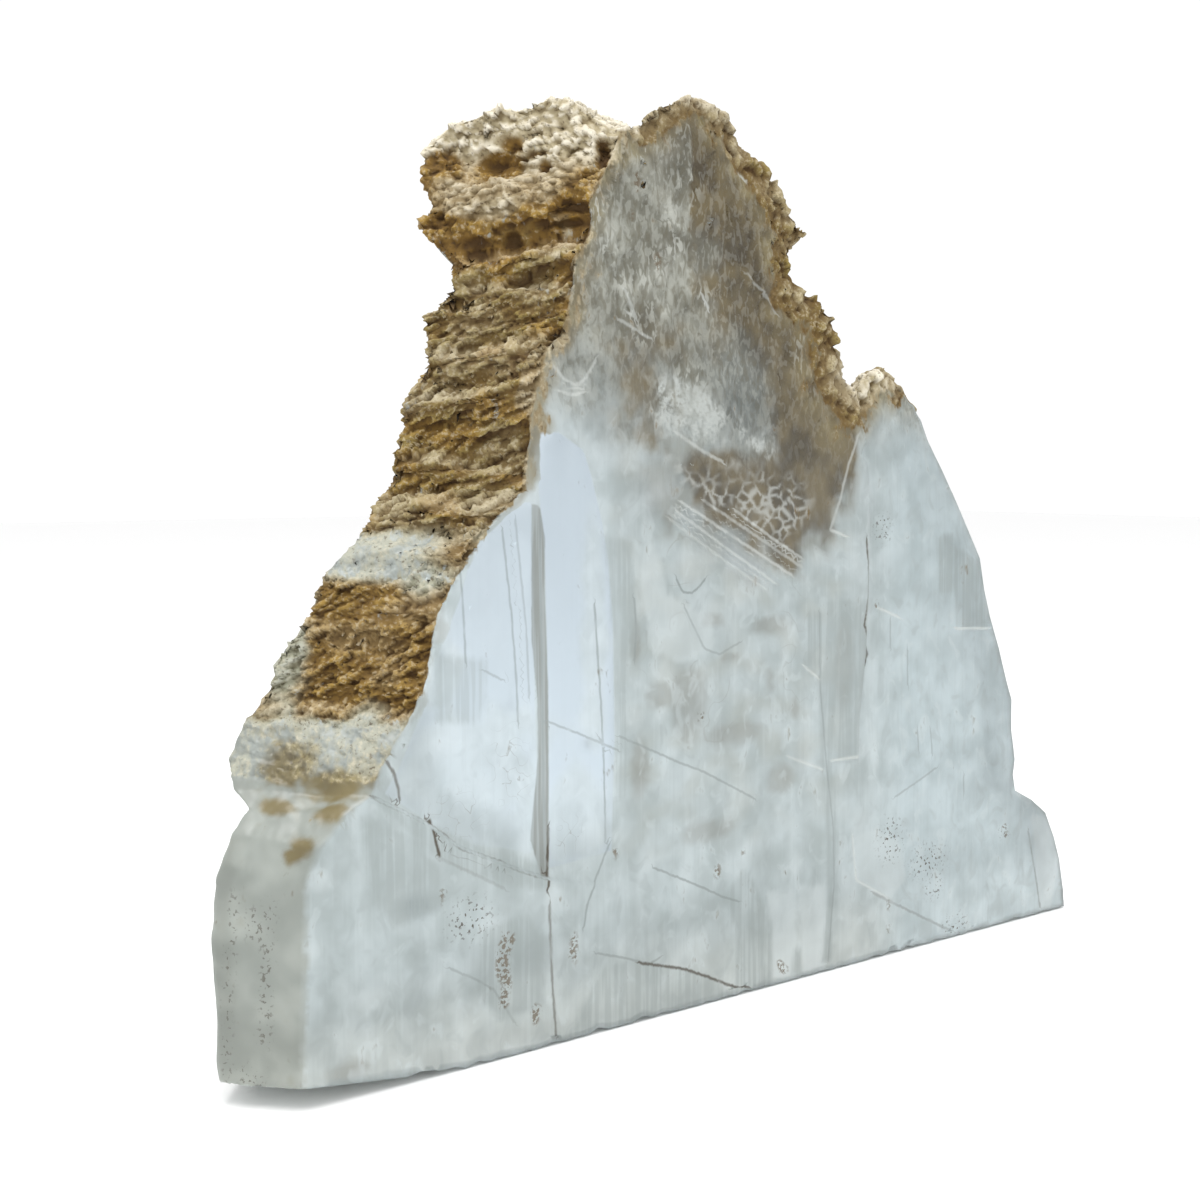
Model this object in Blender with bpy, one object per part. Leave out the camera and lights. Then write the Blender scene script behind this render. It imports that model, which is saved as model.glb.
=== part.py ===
"""Selenite slab: one weathered plate of gypsum that stands on its sawn lower edge.

The plate is laid out in millimetres and scaled to metres at the end. X runs along the
plate, its broad cleavage face looks toward -Y and Z is up. X = 0, Y = 0 is the lower
front corner while the shape is being worked out; the finished slab is then moved so that
the centre of its footprint is the origin.

The left flank is an oblique prism face. Weathering has cut it into slanting ledges, and a
granular lump caps it. The right and top rims are crusted, and a second crystal has grown
onto the right end. The lower left corner has a flat chip knocked off it.
"""
import math
import random

import bmesh
import bpy
from mathutils import Vector, noise
from mathutils.geometry import delaunay_2d_cdt

# Driving dimensions, in millimetres
MM = 0.001
THICKNESS = 38.0        # between the two cleavage faces
LUMP_SWELL = 10.0        # how much thicker the plate is behind the top left lump
RIM_BULGE = 3.5         # how far the right and top rims stand out at half thickness
FLANK_STEP = 2.8        # spacing of the ribs of the left flank
RIM_STEP = 5.6          # spacing of the ribs of the other rims
FACE_STEP = 9.0         # spacing of the points of the front face
BACK_STEP = 10.5        # spacing of the points of the back face
BASE_STEP = 13.0        # spacing of the points of the sawn base
FRONT_ROWS = 8          # rows of the rim from the front face to the crest
BACK_ROWS = 3           # rows of the rim from the crest to the back face

# The flank leans this far along X for each millimetre of depth, and so do the ribs of the
# top as far as the peak and those of the second crystal's left shoulder
FLANK_LEAN = 0.85
PEAK_END = (119.0, 190.0)
NOTCH_START = (206.0, 219.0)
SHOULDER_END = (226.0, 262.0)

# Chip at the lower left corner: a flat facet that rises out of the base
CHIP_HEIGHT = 7.0
CHIP_SLOPE_X = 0.133
CHIP_SLOPE_Y = 0.13
CHIP_LIP = 5.0          # height of the bevelled lip in front of the chip
CHIP_LIP_END = 66.0

# Left flank, from the base up: where each rib leaves the front face (x, z) and where it
# meets the crest of the flank (x, depth, z)
FLANK_RIBS = [
    ((0, 7), (-18, 18, 7)),
    ((1, 26), (-18, 18, 28)),
    ((2, 44), (-18, 20, 50)),
    ((3, 66), (-16, 20, 66)),
    ((7, 75), (-11, 20, 78)),
    ((15, 84), (-5, 22, 84)),
    ((23, 88), (-6, 30, 88.5)),
    ((27, 96), (-6, 34, 97)),
    ((31, 102), (0, 34, 108)),
    ((38, 111), (6, 34, 115)),
    ((43, 124), (10, 33, 127)),
    ((46, 139), (18, 28, 138)),
    ((51, 147), (20, 28, 146)),
    ((59, 162), (28.5, 27, 157)),
    ((66, 166), (34, 28, 161)),
    ((71, 172), (39, 29, 168)),
    ((76, 175), (44, 32, 174)),
    ((76, 183), (46, 29, 180)),
    ((78, 190), (46.5, 30, 186)),
    ((78, 198), (49, 28, 193)),
    ((81, 212), (52, 28, 204)),
    ((84, 217), (56, 26, 212)),
    ((90, 223), (59, 27, 218)),
    ((92, 228), (59.5, 32, 228)),
    ((94, 237), (66, 28, 236)),
    ((94, 245), (68, 27, 243)),
    ((100, 255), (64, 33, 250)),
    ((100, 264), (61.5, 38, 257.5)),
    ((102, 268), (65, 36, 262)),
    ((105, 271.5), (64, 40, 271)),
    ((107, 274.5), (65.5, 42, 281)),
    ((108.5, 277.5), (72, 38, 288.5)),
    ((110, 281), (83, 28, 293.5)),
    ((111, 284), (89, 23, 293)),
    ((112.5, 286), (96, 16, 297)),
    ((115, 288), (99, 14, 296.5)),
]

# Top and right end, from the lump over the peak and down to the base: front edge (x, z)
RIM_EDGE = [
    (119, 288.5), (124, 293), (132, 297.5), (140, 300.5), (149, 299), (159, 295.5), (160.5, 291),
    (166, 286.5), (175, 281.5), (182, 275.5), (184, 270), (194.5, 262), (188, 257), (186, 251),
    (188, 245.5), (192, 242), (200, 240), (206, 234.5), (208, 227), (212, 215), (215, 210),
    (218, 208), (223, 213), (232, 216.5), (238, 215.5), (244, 211), (248, 206.5), (255, 199.5),
    (259, 192), (267, 181), (274, 170), (281, 158), (287.5, 147), (290, 135), (294, 124),
    (300, 111), (305, 98), (308, 90), (307, 78), (308.5, 66), (307.5, 60), (309, 53.5), (319, 48.5),
    (328, 42), (334, 31), (338, 21), (341, 8), (342, 0),
]

# Shelves and steps of the front face, as lines of (x, z)
FLANK_CRACK = [(23, 88), (32, 83), (42, 77), (52, 69), (66, 62), (84, 54), (130, 42)]
CRYSTAL_SEAM = [(219.5, 206), (223, 186), (225, 170), (225, 134), (224, 116), (221, 91), (220, 56)]
STEP_WIDTH = 1.4
SHEET_DEPTH = 1.2       # sheet split off above the crack
SEAM_DEPTH = 2.2        # the second crystal lies this far behind the first

# Pits and recesses: centre (x, y, z), radius and depth
PITS = [
    ((76, 32, 280), 6.5, 3.6),
    ((84, 23, 277), 7.0, 3.4),
    ((105, 3, 277), 4.0, 3.0),
    ((96, 4, 256), 7.5, 3.8),
    ((84, 15, 252), 8.0, 3.4),
    ((72, 27, 247), 7.0, 2.6),
    ((12, 12, 86), 6.0, 2.2),
    ((228, 0, 208), 4.5, 2.6),
    ((229, 0, 190), 4.5, 3.2),
    ((203, 2, 232), 5.0, 2.4),
]


def lerp(start, end, share):
    return start + (end - start) * share


def smooth(value, low, high):
    """Rise from 0 at low to 1 at high with a soft start and end."""
    share = min(max((value - low) / (high - low), 0.0), 1.0)
    return share * share * (3.0 - 2.0 * share)


def wobble(x, y, z, size):
    """Smooth noise from about -1 to 1 whose features are about size across."""
    return noise.noise(Vector((x / size, y / size, z / size)))


def thickness_at(x, z):
    """Depth of the back face: the plate swells behind the top left lump."""
    near_lump = math.exp(-((x - 78) / 38) ** 2 - ((z - 282) / 34) ** 2)
    return THICKNESS + LUMP_SWELL * near_lump


def chip_height(x, y):
    """Height of the underside: nothing on the sawn base, more under the chipped corner."""
    return max(0.0, CHIP_HEIGHT - CHIP_SLOPE_X * x - CHIP_SLOPE_Y * y)


def distance_to_line(x, z, line):
    """Distance from a point to a line of points, signed: positive to its left."""
    best = None
    for (x0, z0), (x1, z1) in zip(line, line[1:]):
        run, rise = x1 - x0, z1 - z0
        share = ((x - x0) * run + (z - z0) * rise) / (run * run + rise * rise)
        share = min(max(share, 0.0), 1.0)
        off_x, off_z = x - x0 - share * run, z - z0 - share * rise
        side = 1.0 if run * off_z - rise * off_x >= 0.0 else -1.0
        distance = math.hypot(off_x, off_z)
        if best is None or distance < abs(best) - 1e-9:
            best = side * distance
    return best


def split_sheet(x, z):
    """How much of the thin sheet above the flank crack has split off, 0 to 1."""
    above = smooth(distance_to_line(x, z, FLANK_CRACK), -STEP_WIDTH / 2, STEP_WIDTH / 2)
    return above * (1.0 - smooth(x, 84, 128)) * (1.0 - smooth(z, 150, 210))


def behind_seam(x, z):
    """1 on the second crystal, 0 on the main plate, fading out toward the base."""
    right = smooth(distance_to_line(x, z, CRYSTAL_SEAM), -STEP_WIDTH / 2, STEP_WIDTH / 2)
    return right * smooth(z, 62, 100) * smooth(x, 214, 222)


def front_relief(x, z, edge_distance):
    """How far the front face lies behind its ideal plane."""
    etched = smooth(z, 165, 215) * (1.0 - smooth(x, 215, 225))
    depth = 0.7 * wobble(x, 0, z * 0.6, 55) * smooth(z, 0, 60)
    depth += etched * 0.8 * wobble(x * 2.2, 5, z, 16)
    depth += SHEET_DEPTH * split_sheet(x, z)
    depth += SEAM_DEPTH * behind_seam(x, z)
    crusted = smooth(x, 128, 160) * smooth(z, 130, 190)
    depth += crusted * 2.4 * (1.0 - smooth(edge_distance, 0, 12))
    lip = 1.0 - smooth(z - chip_height(x, 0), 0, CHIP_LIP)
    depth += 2.2 * lip * smooth(x, 0, 10) * (1.0 - smooth(x, CHIP_LIP_END - 30, CHIP_LIP_END))
    return depth


def back_relief(x, z, edge_distance):
    """How far the back face lies in front of its ideal plane."""
    depth = 1.2 * wobble(x, 40, z * 0.5, 70) + 1.2
    depth += 1.4 * smooth(x * 0.92 + z * 0.4, 176, 178.5)
    depth += smooth(z, 150, 230) * 1.1 * wobble(x * 2.0, 60, z, 20)
    return depth * smooth(edge_distance, -4, 9)


def dent(point):
    """How deep the pits go at a point of the surface."""
    depth = 0.0
    for centre, radius, pit_depth in PITS:
        distance = (point - Vector(centre)).length
        depth += pit_depth * math.exp(-(distance / radius) ** 2)
    return depth


def crag(point, height, across):
    """Height of the rock over the flank: slanting ledges, scales and rounded lumps.

    height is where the rib leaves the front face, so the ledges follow the ribs.
    """
    ledges = smooth(height, 150, 172) * (1.0 - smooth(height, 246, 262))
    scales = smooth(height, 86, 108) * (1.0 - smooth(height, 160, 176))
    lumps = smooth(height, 246, 262)
    shelf = math.tanh(3.0 * noise.noise(Vector((across * 1.7, height / 7.5, 3.7))))
    scale = noise.noise(Vector((across * 3.0, height / 6.0, 9.1)))
    nearest = noise.voronoi(point / 11.0)[0][0]
    fold = wobble(point.x, point.y, point.z, 9)
    raised = 0.25 * fold + ledges * (2.6 * shelf + 0.9 * fold) + scales * (1.1 * scale + 0.6 * fold)
    return raised + lumps * (3.4 * (0.55 - nearest) + 1.2 * fold)


def crust(point):
    """Height of the crust over the top and right rims, fading out toward the base."""
    weathered = smooth(point.z, 150, 215)
    return 0.45 * wobble(*point, 12) + weathered * 1.7 * wobble(*(point + Vector((7, 3, 1))), 10)


def on_front_edge(x, z):
    return Vector((x, front_relief(x, z, 0.0), z))


def flank_stations():
    """Ribs of the left flank: front corner, crest and back corner, closely spaced."""
    stations = []
    for (front, crest), (next_front, next_crest) in zip(FLANK_RIBS, FLANK_RIBS[1:]):
        start = [on_front_edge(*front), Vector(crest)]
        end = [on_front_edge(*next_front), Vector(next_crest)]
        longest = max((end[0] - start[0]).length, (end[1] - start[1]).length)
        count = max(1, round(longest / FLANK_STEP))
        for step in range(count):
            stations.append([lerp(start[0], end[0], step / count), lerp(start[1], end[1], step / count)])
    for station in stations:
        crest = station[1]
        depth = thickness_at(crest.x, crest.z)
        station.append(Vector((crest.x + FLANK_LEAN * (depth - crest.y), depth, crest.z)))
    return stations


def rim_stations():
    """Ribs of the top and right rims, which bulge a little at half thickness."""
    edge = []
    for (x0, z0), (x1, z1) in zip(RIM_EDGE, RIM_EDGE[1:]):
        count = max(1, round(math.hypot(x1 - x0, z1 - z0) / RIM_STEP))
        edge += [on_front_edge(lerp(x0, x1, step / count), lerp(z0, z1, step / count)) for step in range(count)]
    edge.append(on_front_edge(*RIM_EDGE[-1]))
    stations = []
    for index, front in enumerate(edge):
        before, after = edge[max(index - 2, 0)], edge[min(index + 2, len(edge) - 1)]
        along = (after - before).normalized()
        outward = Vector((-along.z, 0, along.x))
        if front.z == 0.0:
            outward = Vector((1, 0, 0))
        settle = smooth(front.x, 112, 150)
        lean = 1.0 - smooth(front.x, *PEAK_END)
        if front.z > 150:
            lean += smooth(front.x, *NOTCH_START) * (1.0 - smooth(front.x, *SHOULDER_END))
        crest_depth = lerp(13.0, THICKNESS / 2, settle)
        depth = thickness_at(front.x, front.z)
        crest = Vector((front.x + FLANK_LEAN * lean * crest_depth, crest_depth, front.z))
        back = Vector((front.x + FLANK_LEAN * lean * depth, depth, front.z))
        stations.append([front, crest + outward * RIM_BULGE * settle, back + outward * settle])
    return stations


def rib_points(front, crest, back):
    """Points along one rib, from the front face over the crest to the back face."""
    rows = [lerp(front, crest, row / FRONT_ROWS) for row in range(FRONT_ROWS)]
    rows += [lerp(crest, back, row / BACK_ROWS) for row in range(BACK_ROWS + 1)]
    return rows


def roughen(grid, flank_count):
    """Push the rows between the two faces out or in to make ledges, lumps and pits."""
    rough = [list(rib) for rib in grid]
    last_row = len(grid[0]) - 1
    for index, rib in enumerate(grid):
        before, after = grid[max(index - 1, 0)], grid[min(index + 1, len(grid) - 1)]
        for row in range(1, last_row):
            around = after[row] - before[row]
            across = rib[row + 1] - rib[row - 1]
            outward = across.cross(around).normalized() * -1.0
            if index < flank_count:
                raised = crag(rib[row], rib[0].z, row / last_row)
            else:
                raised = crust(rib[row])
            edge_fade = min(1.0, 0.45 + 0.25 * row) * min(1.0, 0.3 + 0.35 * abs(row - FRONT_ROWS))
            ground_fade = smooth(rib[row].z, 0, 12) * min(1.0, around.length / (1.4 * FLANK_STEP))
            raised = (raised * edge_fade - dent(rib[row])) * ground_fade
            rough[index][row] = rib[row] + outward * raised
    return rough


def inside(x, z, outline):
    """Whether a point lies inside a closed outline."""
    within = False
    for (x0, z0), (x1, z1) in zip(outline, outline[1:] + outline[:1]):
        if (z0 > z) != (z1 > z) and x < x0 + (z - z0) * (x1 - x0) / (z1 - z0):
            within = not within
    return within


def step_pairs(line, spacing):
    """Points on both sides of a step line, so that the step stays sharp."""
    points = []
    for (x0, z0), (x1, z1) in zip(line, line[1:]):
        length = math.hypot(x1 - x0, z1 - z0)
        side_x, side_z = -(z1 - z0) / length * STEP_WIDTH / 2, (x1 - x0) / length * STEP_WIDTH / 2
        count = max(1, round(length / spacing))
        for step in range(count):
            x, z = lerp(x0, x1, (step + 0.5) / count), lerp(z0, z1, (step + 0.5) / count)
            points += [(x + side_x, z + side_z), (x - side_x, z - side_z)]
    return points


def filled_outline(outline, spacing, extra_points, seed):
    """Triangulate a closed outline with scattered inner points.

    Returns the points, outline first, and triangles that run counter-clockwise.
    """
    scatter = random.Random(seed)
    kept = [point for point in extra_points if inside(*point, outline)]
    kept = [point for point in kept if abs(distance_to_line(*point, outline + outline[:1])) > 1.5]
    low_x, high_x = min(x for x, z in outline), max(x for x, z in outline)
    low_z, high_z = min(z for x, z in outline), max(z for x, z in outline)
    lines = kept[:]
    for row in range(int((high_z - low_z) / (spacing * 0.87)) + 1):
        for column in range(int((high_x - low_x) / spacing) + 2):
            x = low_x + (column + 0.5 * (row % 2)) * spacing + scatter.uniform(-0.2, 0.2) * spacing
            z = low_z + row * spacing * 0.87 + scatter.uniform(-0.2, 0.2) * spacing
            if not inside(x, z, outline):
                continue
            clear = abs(distance_to_line(x, z, outline + outline[:1])) > 0.55 * spacing
            if clear and all(math.hypot(x - a, z - b) > 0.5 * spacing for a, b in lines):
                kept.append((x, z))
    points = outline + kept
    flat = [Vector(point) for point in points]
    found = delaunay_2d_cdt(flat, [], [list(range(len(outline)))], 1, 1e-5)
    origin = [sources[0] for sources in found[3]]
    triangles = []
    for corners in found[2]:
        a, b, c = (origin[corner] for corner in corners)
        turn = (flat[b] - flat[a]).cross(flat[c] - flat[a])
        triangles.append((a, b, c) if turn > 0 else (a, c, b))
    return points, triangles


def slab_surface():
    """All points and triangles of the slab, in millimetres."""
    flank = [rib_points(*station) for station in flank_stations()]
    rim = [rib_points(*station) for station in rim_stations()]
    grid = roughen(flank + rim, len(flank))
    for end_rib in (grid[0], grid[-1]):
        for point in end_rib:
            point.z = chip_height(point.x, point.y)

    points = []
    triangles = []
    index_of = [[len(grid[0]) * rib + row for row in range(len(grid[0]))] for rib in range(len(grid))]
    for rib in grid:
        points += rib
    for rib in range(len(grid) - 1):
        for row in range(len(grid[0]) - 1):
            a, b = index_of[rib][row], index_of[rib][row + 1]
            d, c = index_of[rib + 1][row], index_of[rib + 1][row + 1]
            if (points[a] - points[c]).length < (points[b] - points[d]).length:
                triangles += [(a, b, c), (a, c, d)]
            else:
                triangles += [(a, b, d), (b, c, d)]

    def base_edge(first, last, count):
        """Indices of new points along the base between two points that exist."""
        ends = points[first], points[last]
        made = []
        for step in range(1, count):
            spot = lerp(ends[0], ends[1], step / count)
            spot.z = chip_height(spot.x, spot.y)
            made.append(len(points))
            points.append(spot)
        return made

    edge_count = round(RIM_EDGE[-1][0] / FACE_STEP)
    front_base = base_edge(index_of[-1][0], index_of[0][0], edge_count)
    back_base = base_edge(index_of[0][-1], index_of[-1][-1], edge_count)

    def fill(ring, plane, spacing, extra_points, seed, place, flip):
        """Fill a closed ring of points; place gives a 2D point its third coordinate."""
        outline = [plane(points[index]) for index in ring]
        flat, faces = filled_outline(outline, spacing, extra_points, seed)
        numbers = ring[:]
        for spot in flat[len(ring):]:
            numbers.append(len(points))
            points.append(place(*spot, outline))
        for a, b, c in faces:
            corners = (numbers[a], numbers[b], numbers[c])
            triangles.append(corners[::-1] if flip else corners)

    def along_face(point):
        return (point.x, point.z)

    def along_base(point):
        return (point.x, point.y)

    def on_front(x, z, outline):
        distance = abs(distance_to_line(x, z, outline + outline[:1]))
        return Vector((x, front_relief(x, z, distance) + dent(Vector((x, 0, z))), z))

    def on_back(x, z, outline):
        distance = abs(distance_to_line(x, z, outline + outline[:1]))
        return Vector((x, thickness_at(x, z) - back_relief(x, z, distance), z))

    def on_base(x, y, outline):
        return Vector((x, y, chip_height(x, y)))

    front_ring = [rib[0] for rib in index_of] + front_base
    back_ring = [rib[-1] for rib in index_of[::-1]] + back_base
    base_ring = index_of[0] + back_base + index_of[-1][::-1] + front_base
    steps = step_pairs(FLANK_CRACK, 4.5) + step_pairs(CRYSTAL_SEAM, 6.0)
    fill(front_ring, along_face, FACE_STEP, steps, 3, on_front, False)
    fill(back_ring, along_face, BACK_STEP, [], 5, on_back, True)
    fill(base_ring, along_base, BASE_STEP, [], 7, on_base, True)
    return points, triangles


def stone_material():
    material = bpy.data.materials.new("clear_gypsum")
    material.use_nodes = True
    shader = material.node_tree.nodes["Principled BSDF"]
    shader.inputs["Base Color"].default_value = (0.62, 0.66, 0.64, 1.0)
    shader.inputs["Roughness"].default_value = 0.35
    shader.inputs["Metallic"].default_value = 0.0
    return material


def build_slab():
    points, triangles = slab_surface()
    low_x, high_x = min(p.x for p in points), max(p.x for p in points)
    low_y, high_y = min(p.y for p in points), max(p.y for p in points)
    middle = Vector(((low_x + high_x) / 2, (low_y + high_y) / 2, 0.0))
    bm = bmesh.new()
    corners = [bm.verts.new((point - middle) * MM) for point in points]
    for triangle in triangles:
        bm.faces.new([corners[index] for index in triangle])
    bmesh.ops.recalc_face_normals(bm, faces=bm.faces[:])
    mesh = bpy.data.meshes.new("selenite_slab")
    bm.to_mesh(mesh)
    bm.free()
    mesh.materials.append(stone_material())
    slab = bpy.data.objects.new("selenite_slab", mesh)
    bpy.context.scene.collection.objects.link(slab)
    return slab


def main():
    for thing in list(bpy.data.objects):
        bpy.data.objects.remove(thing, do_unlink=True)
    build_slab()


main()
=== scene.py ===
"""Looks of the selenite slab: fine relief, gypsum finish, studio and camera.

Every place below is in the slab's own frame: millimetres, X along the plate from its lower
front corner, Y into it from the cleavage face, Z up from the surface it stands on.
"""
import math

import bmesh
import bpy
import numpy as np
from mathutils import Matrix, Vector, noise


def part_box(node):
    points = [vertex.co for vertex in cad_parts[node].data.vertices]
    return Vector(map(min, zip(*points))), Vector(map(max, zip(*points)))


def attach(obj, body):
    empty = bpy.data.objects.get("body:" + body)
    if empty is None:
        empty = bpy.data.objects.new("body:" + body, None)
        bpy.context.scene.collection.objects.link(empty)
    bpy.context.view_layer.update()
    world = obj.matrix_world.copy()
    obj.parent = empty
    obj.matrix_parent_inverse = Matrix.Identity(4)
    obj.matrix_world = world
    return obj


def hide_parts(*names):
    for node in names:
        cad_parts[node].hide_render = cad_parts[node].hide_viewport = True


MM = 0.001
NODE = "selenite_slab"

# Where the slab's lower front corner lies inside the node's box
FLANK_REACH = 18.04     # the flank stands out this far to the left of the corner
FACE_PROUD = 0.57       # the cleavage face swells this far in front of its plane

# Camera: a 45 mm lens on a 36 mm sensor, standing left of the slab's middle, turned to the right
# and dipped by these angles
LENS = 45.0
SENSOR = 36.0
CAMERA_SPOT = (-171.93, -380.71, 180.82)
CAMERA_TURN = math.radians(35.935)
CAMERA_DIP = math.radians(4.93)

# Studio, in metres: a paper floor, an even sky and one broad lamp at the upper left
FLOOR_HALF = 5.0
SKY_STRENGTH = 1.04
KEY_SPOT = (-0.45, -0.35, 1.8)
KEY_AIM = (-0.05, 0.0, 0.15)
KEY_WIDTH = 1.2
KEY_WATTS = 22.0

# Wanted lengths of the fine mesh's edges: shortest where the surface or its finish has most detail
MESH_STEP = {
    "plain": 3.6, "face": 2.8, "pane": 1.6, "etched": 1.5, "crackle": 1.3, "line": 1.3, "web": 0.8,
    "rim": 1.1, "foot": 1.8, "knob": 1.1, "flank": 0.9,
}
WELD = 0.002            # points of the solid closer than this are one
SPLIT_ROUNDS = 5        # an edge is halved this often at most
SPLIT_OVER = 1.4        # and only while it is this many times too long
SHARP_ANGLE = math.radians(62)

FRONT_LAYER = 9.0       # the face's panes colour the slab down to this depth, the back's lie behind it
FAR_OUTSIDE = 40.0      # shift that takes a pane out of sight
BACK_SOFTNESS = 14.0    # how much softer the back pane's edge is than a front pane's

# Left edge of the cleavage face: heights, and the edge's place along X at each
EDGE_Z = [0, 44, 66, 75, 84, 88, 96, 111, 124, 139, 147, 166, 175, 198, 217, 228, 245, 264, 275, 284, 288]
EDGE_X = [0, 2, 3, 7, 15, 23, 27, 38, 43, 46, 51, 66, 76, 78, 84, 92, 94, 100, 107, 111, 113]
FOOT_TOP = 84           # the flank's smooth foot ends at about this height
FLANK_END = 119         # the flank and its lump end at this place along X
RIM_START = 116         # and the crust of the right rim starts here
RECESS_DEPTH = 1.6      # how far the groove under the lump is sunk
GRAIN_HEIGHT = 0.3      # height of the crust's finest grain
LEDGE_RISE = 0.30       # how steeply the ledges climb toward the face
SHINGLE_RISE = 0.60     # how steeply the small shingles on them climb
# Brownish margin beside that edge: heights, and how wide it is at each
MARGIN_Z = [84, 110, 130, 160, 175, 230, 290]
MARGIN_REACH = [3, 3, 4, 5, 9, 16, 16]

# Crusted part of the rim, from the lump over the peak to the second crystal's shoulder
CRUST_RIM = [
    (113, 288), (119, 288.5), (132, 297.5), (140, 300.5), (149, 299), (159, 295.5), (166, 286.5),
    (175, 281.5), (184, 270), (194, 262), (187, 254), (188, 245.5), (200, 240), (206, 234.5),
    (208, 227), (212, 215), (218, 208), (223, 213), (232, 216.5), (238, 215.5), (244, 211),
]
# Width of that crust: places along X, and its width at each
RIM_WIDTH_X = [113, 140, 152, 176, 190, 206, 216, 224, 238, 246]
RIM_WIDTH = [8, 8, 11, 12, 17, 16, 11, 12, 8, 5]

# Shelves of the flank, as (lowest level, highest level, how far they jut out)
SHELVES = [
    (246.0, 251.0, 2.2), (239.0, 244.5, -1.6), (224.5, 228.5, 2.0), (217.5, 222.5, -1.4),
    (207.0, 211.0, 1.2), (196.0, 200.0, 1.4), (186.0, 189.0, -1.8), (173.0, 178.0, 1.6),
]
# Hollows of the flank and the rim: centre, radii and depth
HOLLOWS = [
    ((70, 37, 278), (6, 6, 4.5), 1.8),
    ((85, 27, 276), (7, 7, 4.5), 1.5),
    ((88, 25, 283), (5, 5, 3.5), 1.6),
    ((92, 18, 279), (6, 7, 1.3), 1.8),
    ((93, 14, 275), (2.4, 2.4, 1.8), 2.2),
    ((102.5, 4, 273), (3.0, 3.0, 1.6), 1.8),
    ((106.5, 2.5, 279), (2.6, 2.6, 5.5), 3.2),
    ((96, 5, 262), (7, 7, 3.6), 3.4),
    ((95, 9, 256.5), (8, 8, 1.5), 2.0),
    ((84, 19, 252), (3, 3, 3), 2.4),
    ((66, 34, 258), (5, 5, 3), 2.4),
    ((74, 25, 250), (7, 7, 5), 1.6),
    ((88, 1, 223.5), (4, 4, 2.2), 2.0),
    ((223.5, 0, 206), (4.0, 5, 2.6), 2.2),
    ((223, 0, 188), (2.6, 3.5, 3.2), 2.2),
]

# Panes of the cleavage face: areas with a crisp outline
WINDOWS = [
    [(78, 198), (86, 194), (98, 187), (101, 179), (105, 165), (107, 155), (109, 135), (110, 96),
     (109, 59), (85, 57), (85, 110), (84, 153), (82, 172)],
    [(59, 159), (67, 166), (76, 172), (79, 171), (80, 154), (80, 110), (81, 79), (78, 63), (68, 66),
     (59, 68), (46, 75), (28, 88), (33, 95), (41, 111), (46, 126), (54, 143)],
]
# Clear area of the back face, seen through the front windows
BACK_PANES = [[(58, 82), (56, 112), (64, 170), (92, 204), (122, 196), (129, 130), (127, 64), (94, 57)]]
# Milky veils in the panes: centre and radii
VEILS = [
    ((58, 88), (34, 28)), ((96, 72), (16, 22)), ((45, 120), (12, 12)), ((102, 130), (6, 50)),
    ((72, 72), (14, 10)),
]
# Dark ribbed stripe between the windows, and the duller and paler panes beside them
STRIPES = [
    [(79, 171), (82, 170), (84, 160), (84, 141), (85, 113), (85, 54), (82, 55), (78, 67), (81, 92),
     (81, 111), (79, 129), (79, 154)],
]
GREY_PANES = [
    [(24, 88), (33, 82), (46, 75), (59, 68), (68, 65), (84, 57.5), (84, 50.5), (70, 54), (56, 60),
     (44, 66.5), (33, 77)],
    [(199, 131), (203, 131), (206, 80), (209, 53), (211, 30), (208, 4), (203, 4), (206, 30), (204, 53),
     (201, 80)],
    [(20, 82), (34, 76), (46, 64), (46, 52), (30, 48), (22, 60)],
    [(46, 127), (62.6, 124), (62.5, 112), (59.7, 105), (46, 107)],
    [(106, 160), (116, 158), (118, 130), (114, 75), (110.8, 75), (110, 125)],
    [(60, 42), (76, 44), (83, 36), (82, 14), (66, 12), (58, 24)],
    [(203, 135), (222.5, 134), (226, 114), (221.5, 90), (220, 77), (207, 77), (202.5, 100)],
    [(194, 132), (200, 131), (200, 111), (193, 113)],
    [(156, 36), (165.5, 44.5), (169.5, 40), (178.5, 22), (178.5, 0), (161, 0), (162.5, 23)],
    [(189.5, 12.5), (192, 12), (193, 1), (188, 1)],
    [(262, 157), (272.5, 157), (274.5, 134), (264, 134)],
    [(272, 153), (287, 146), (292.5, 120), (274, 120.5)],
    [(106, 22), (116, 22), (126, 19), (150, 10), (160, 0), (90, 0)],
]
PALE_PANES = [
    [(175.5, 34.5), (188, 32.5), (191, 14.5), (188, 2), (179.5, 2), (178.5, 22)],
    [(191, 34), (205, 32), (204.5, 1), (194, 1)],
    [(217.5, 48), (219.5, 31.5), (237, 21.5), (246, 27), (243, 41), (229, 49)],
    [(319, 42), (330, 39.5), (337, 21), (333, 0), (326.5, 0)],
    [(124, 160), (132, 140), (150, 132), (150, 122), (136, 118), (124, 124), (120, 145)],
]
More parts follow.
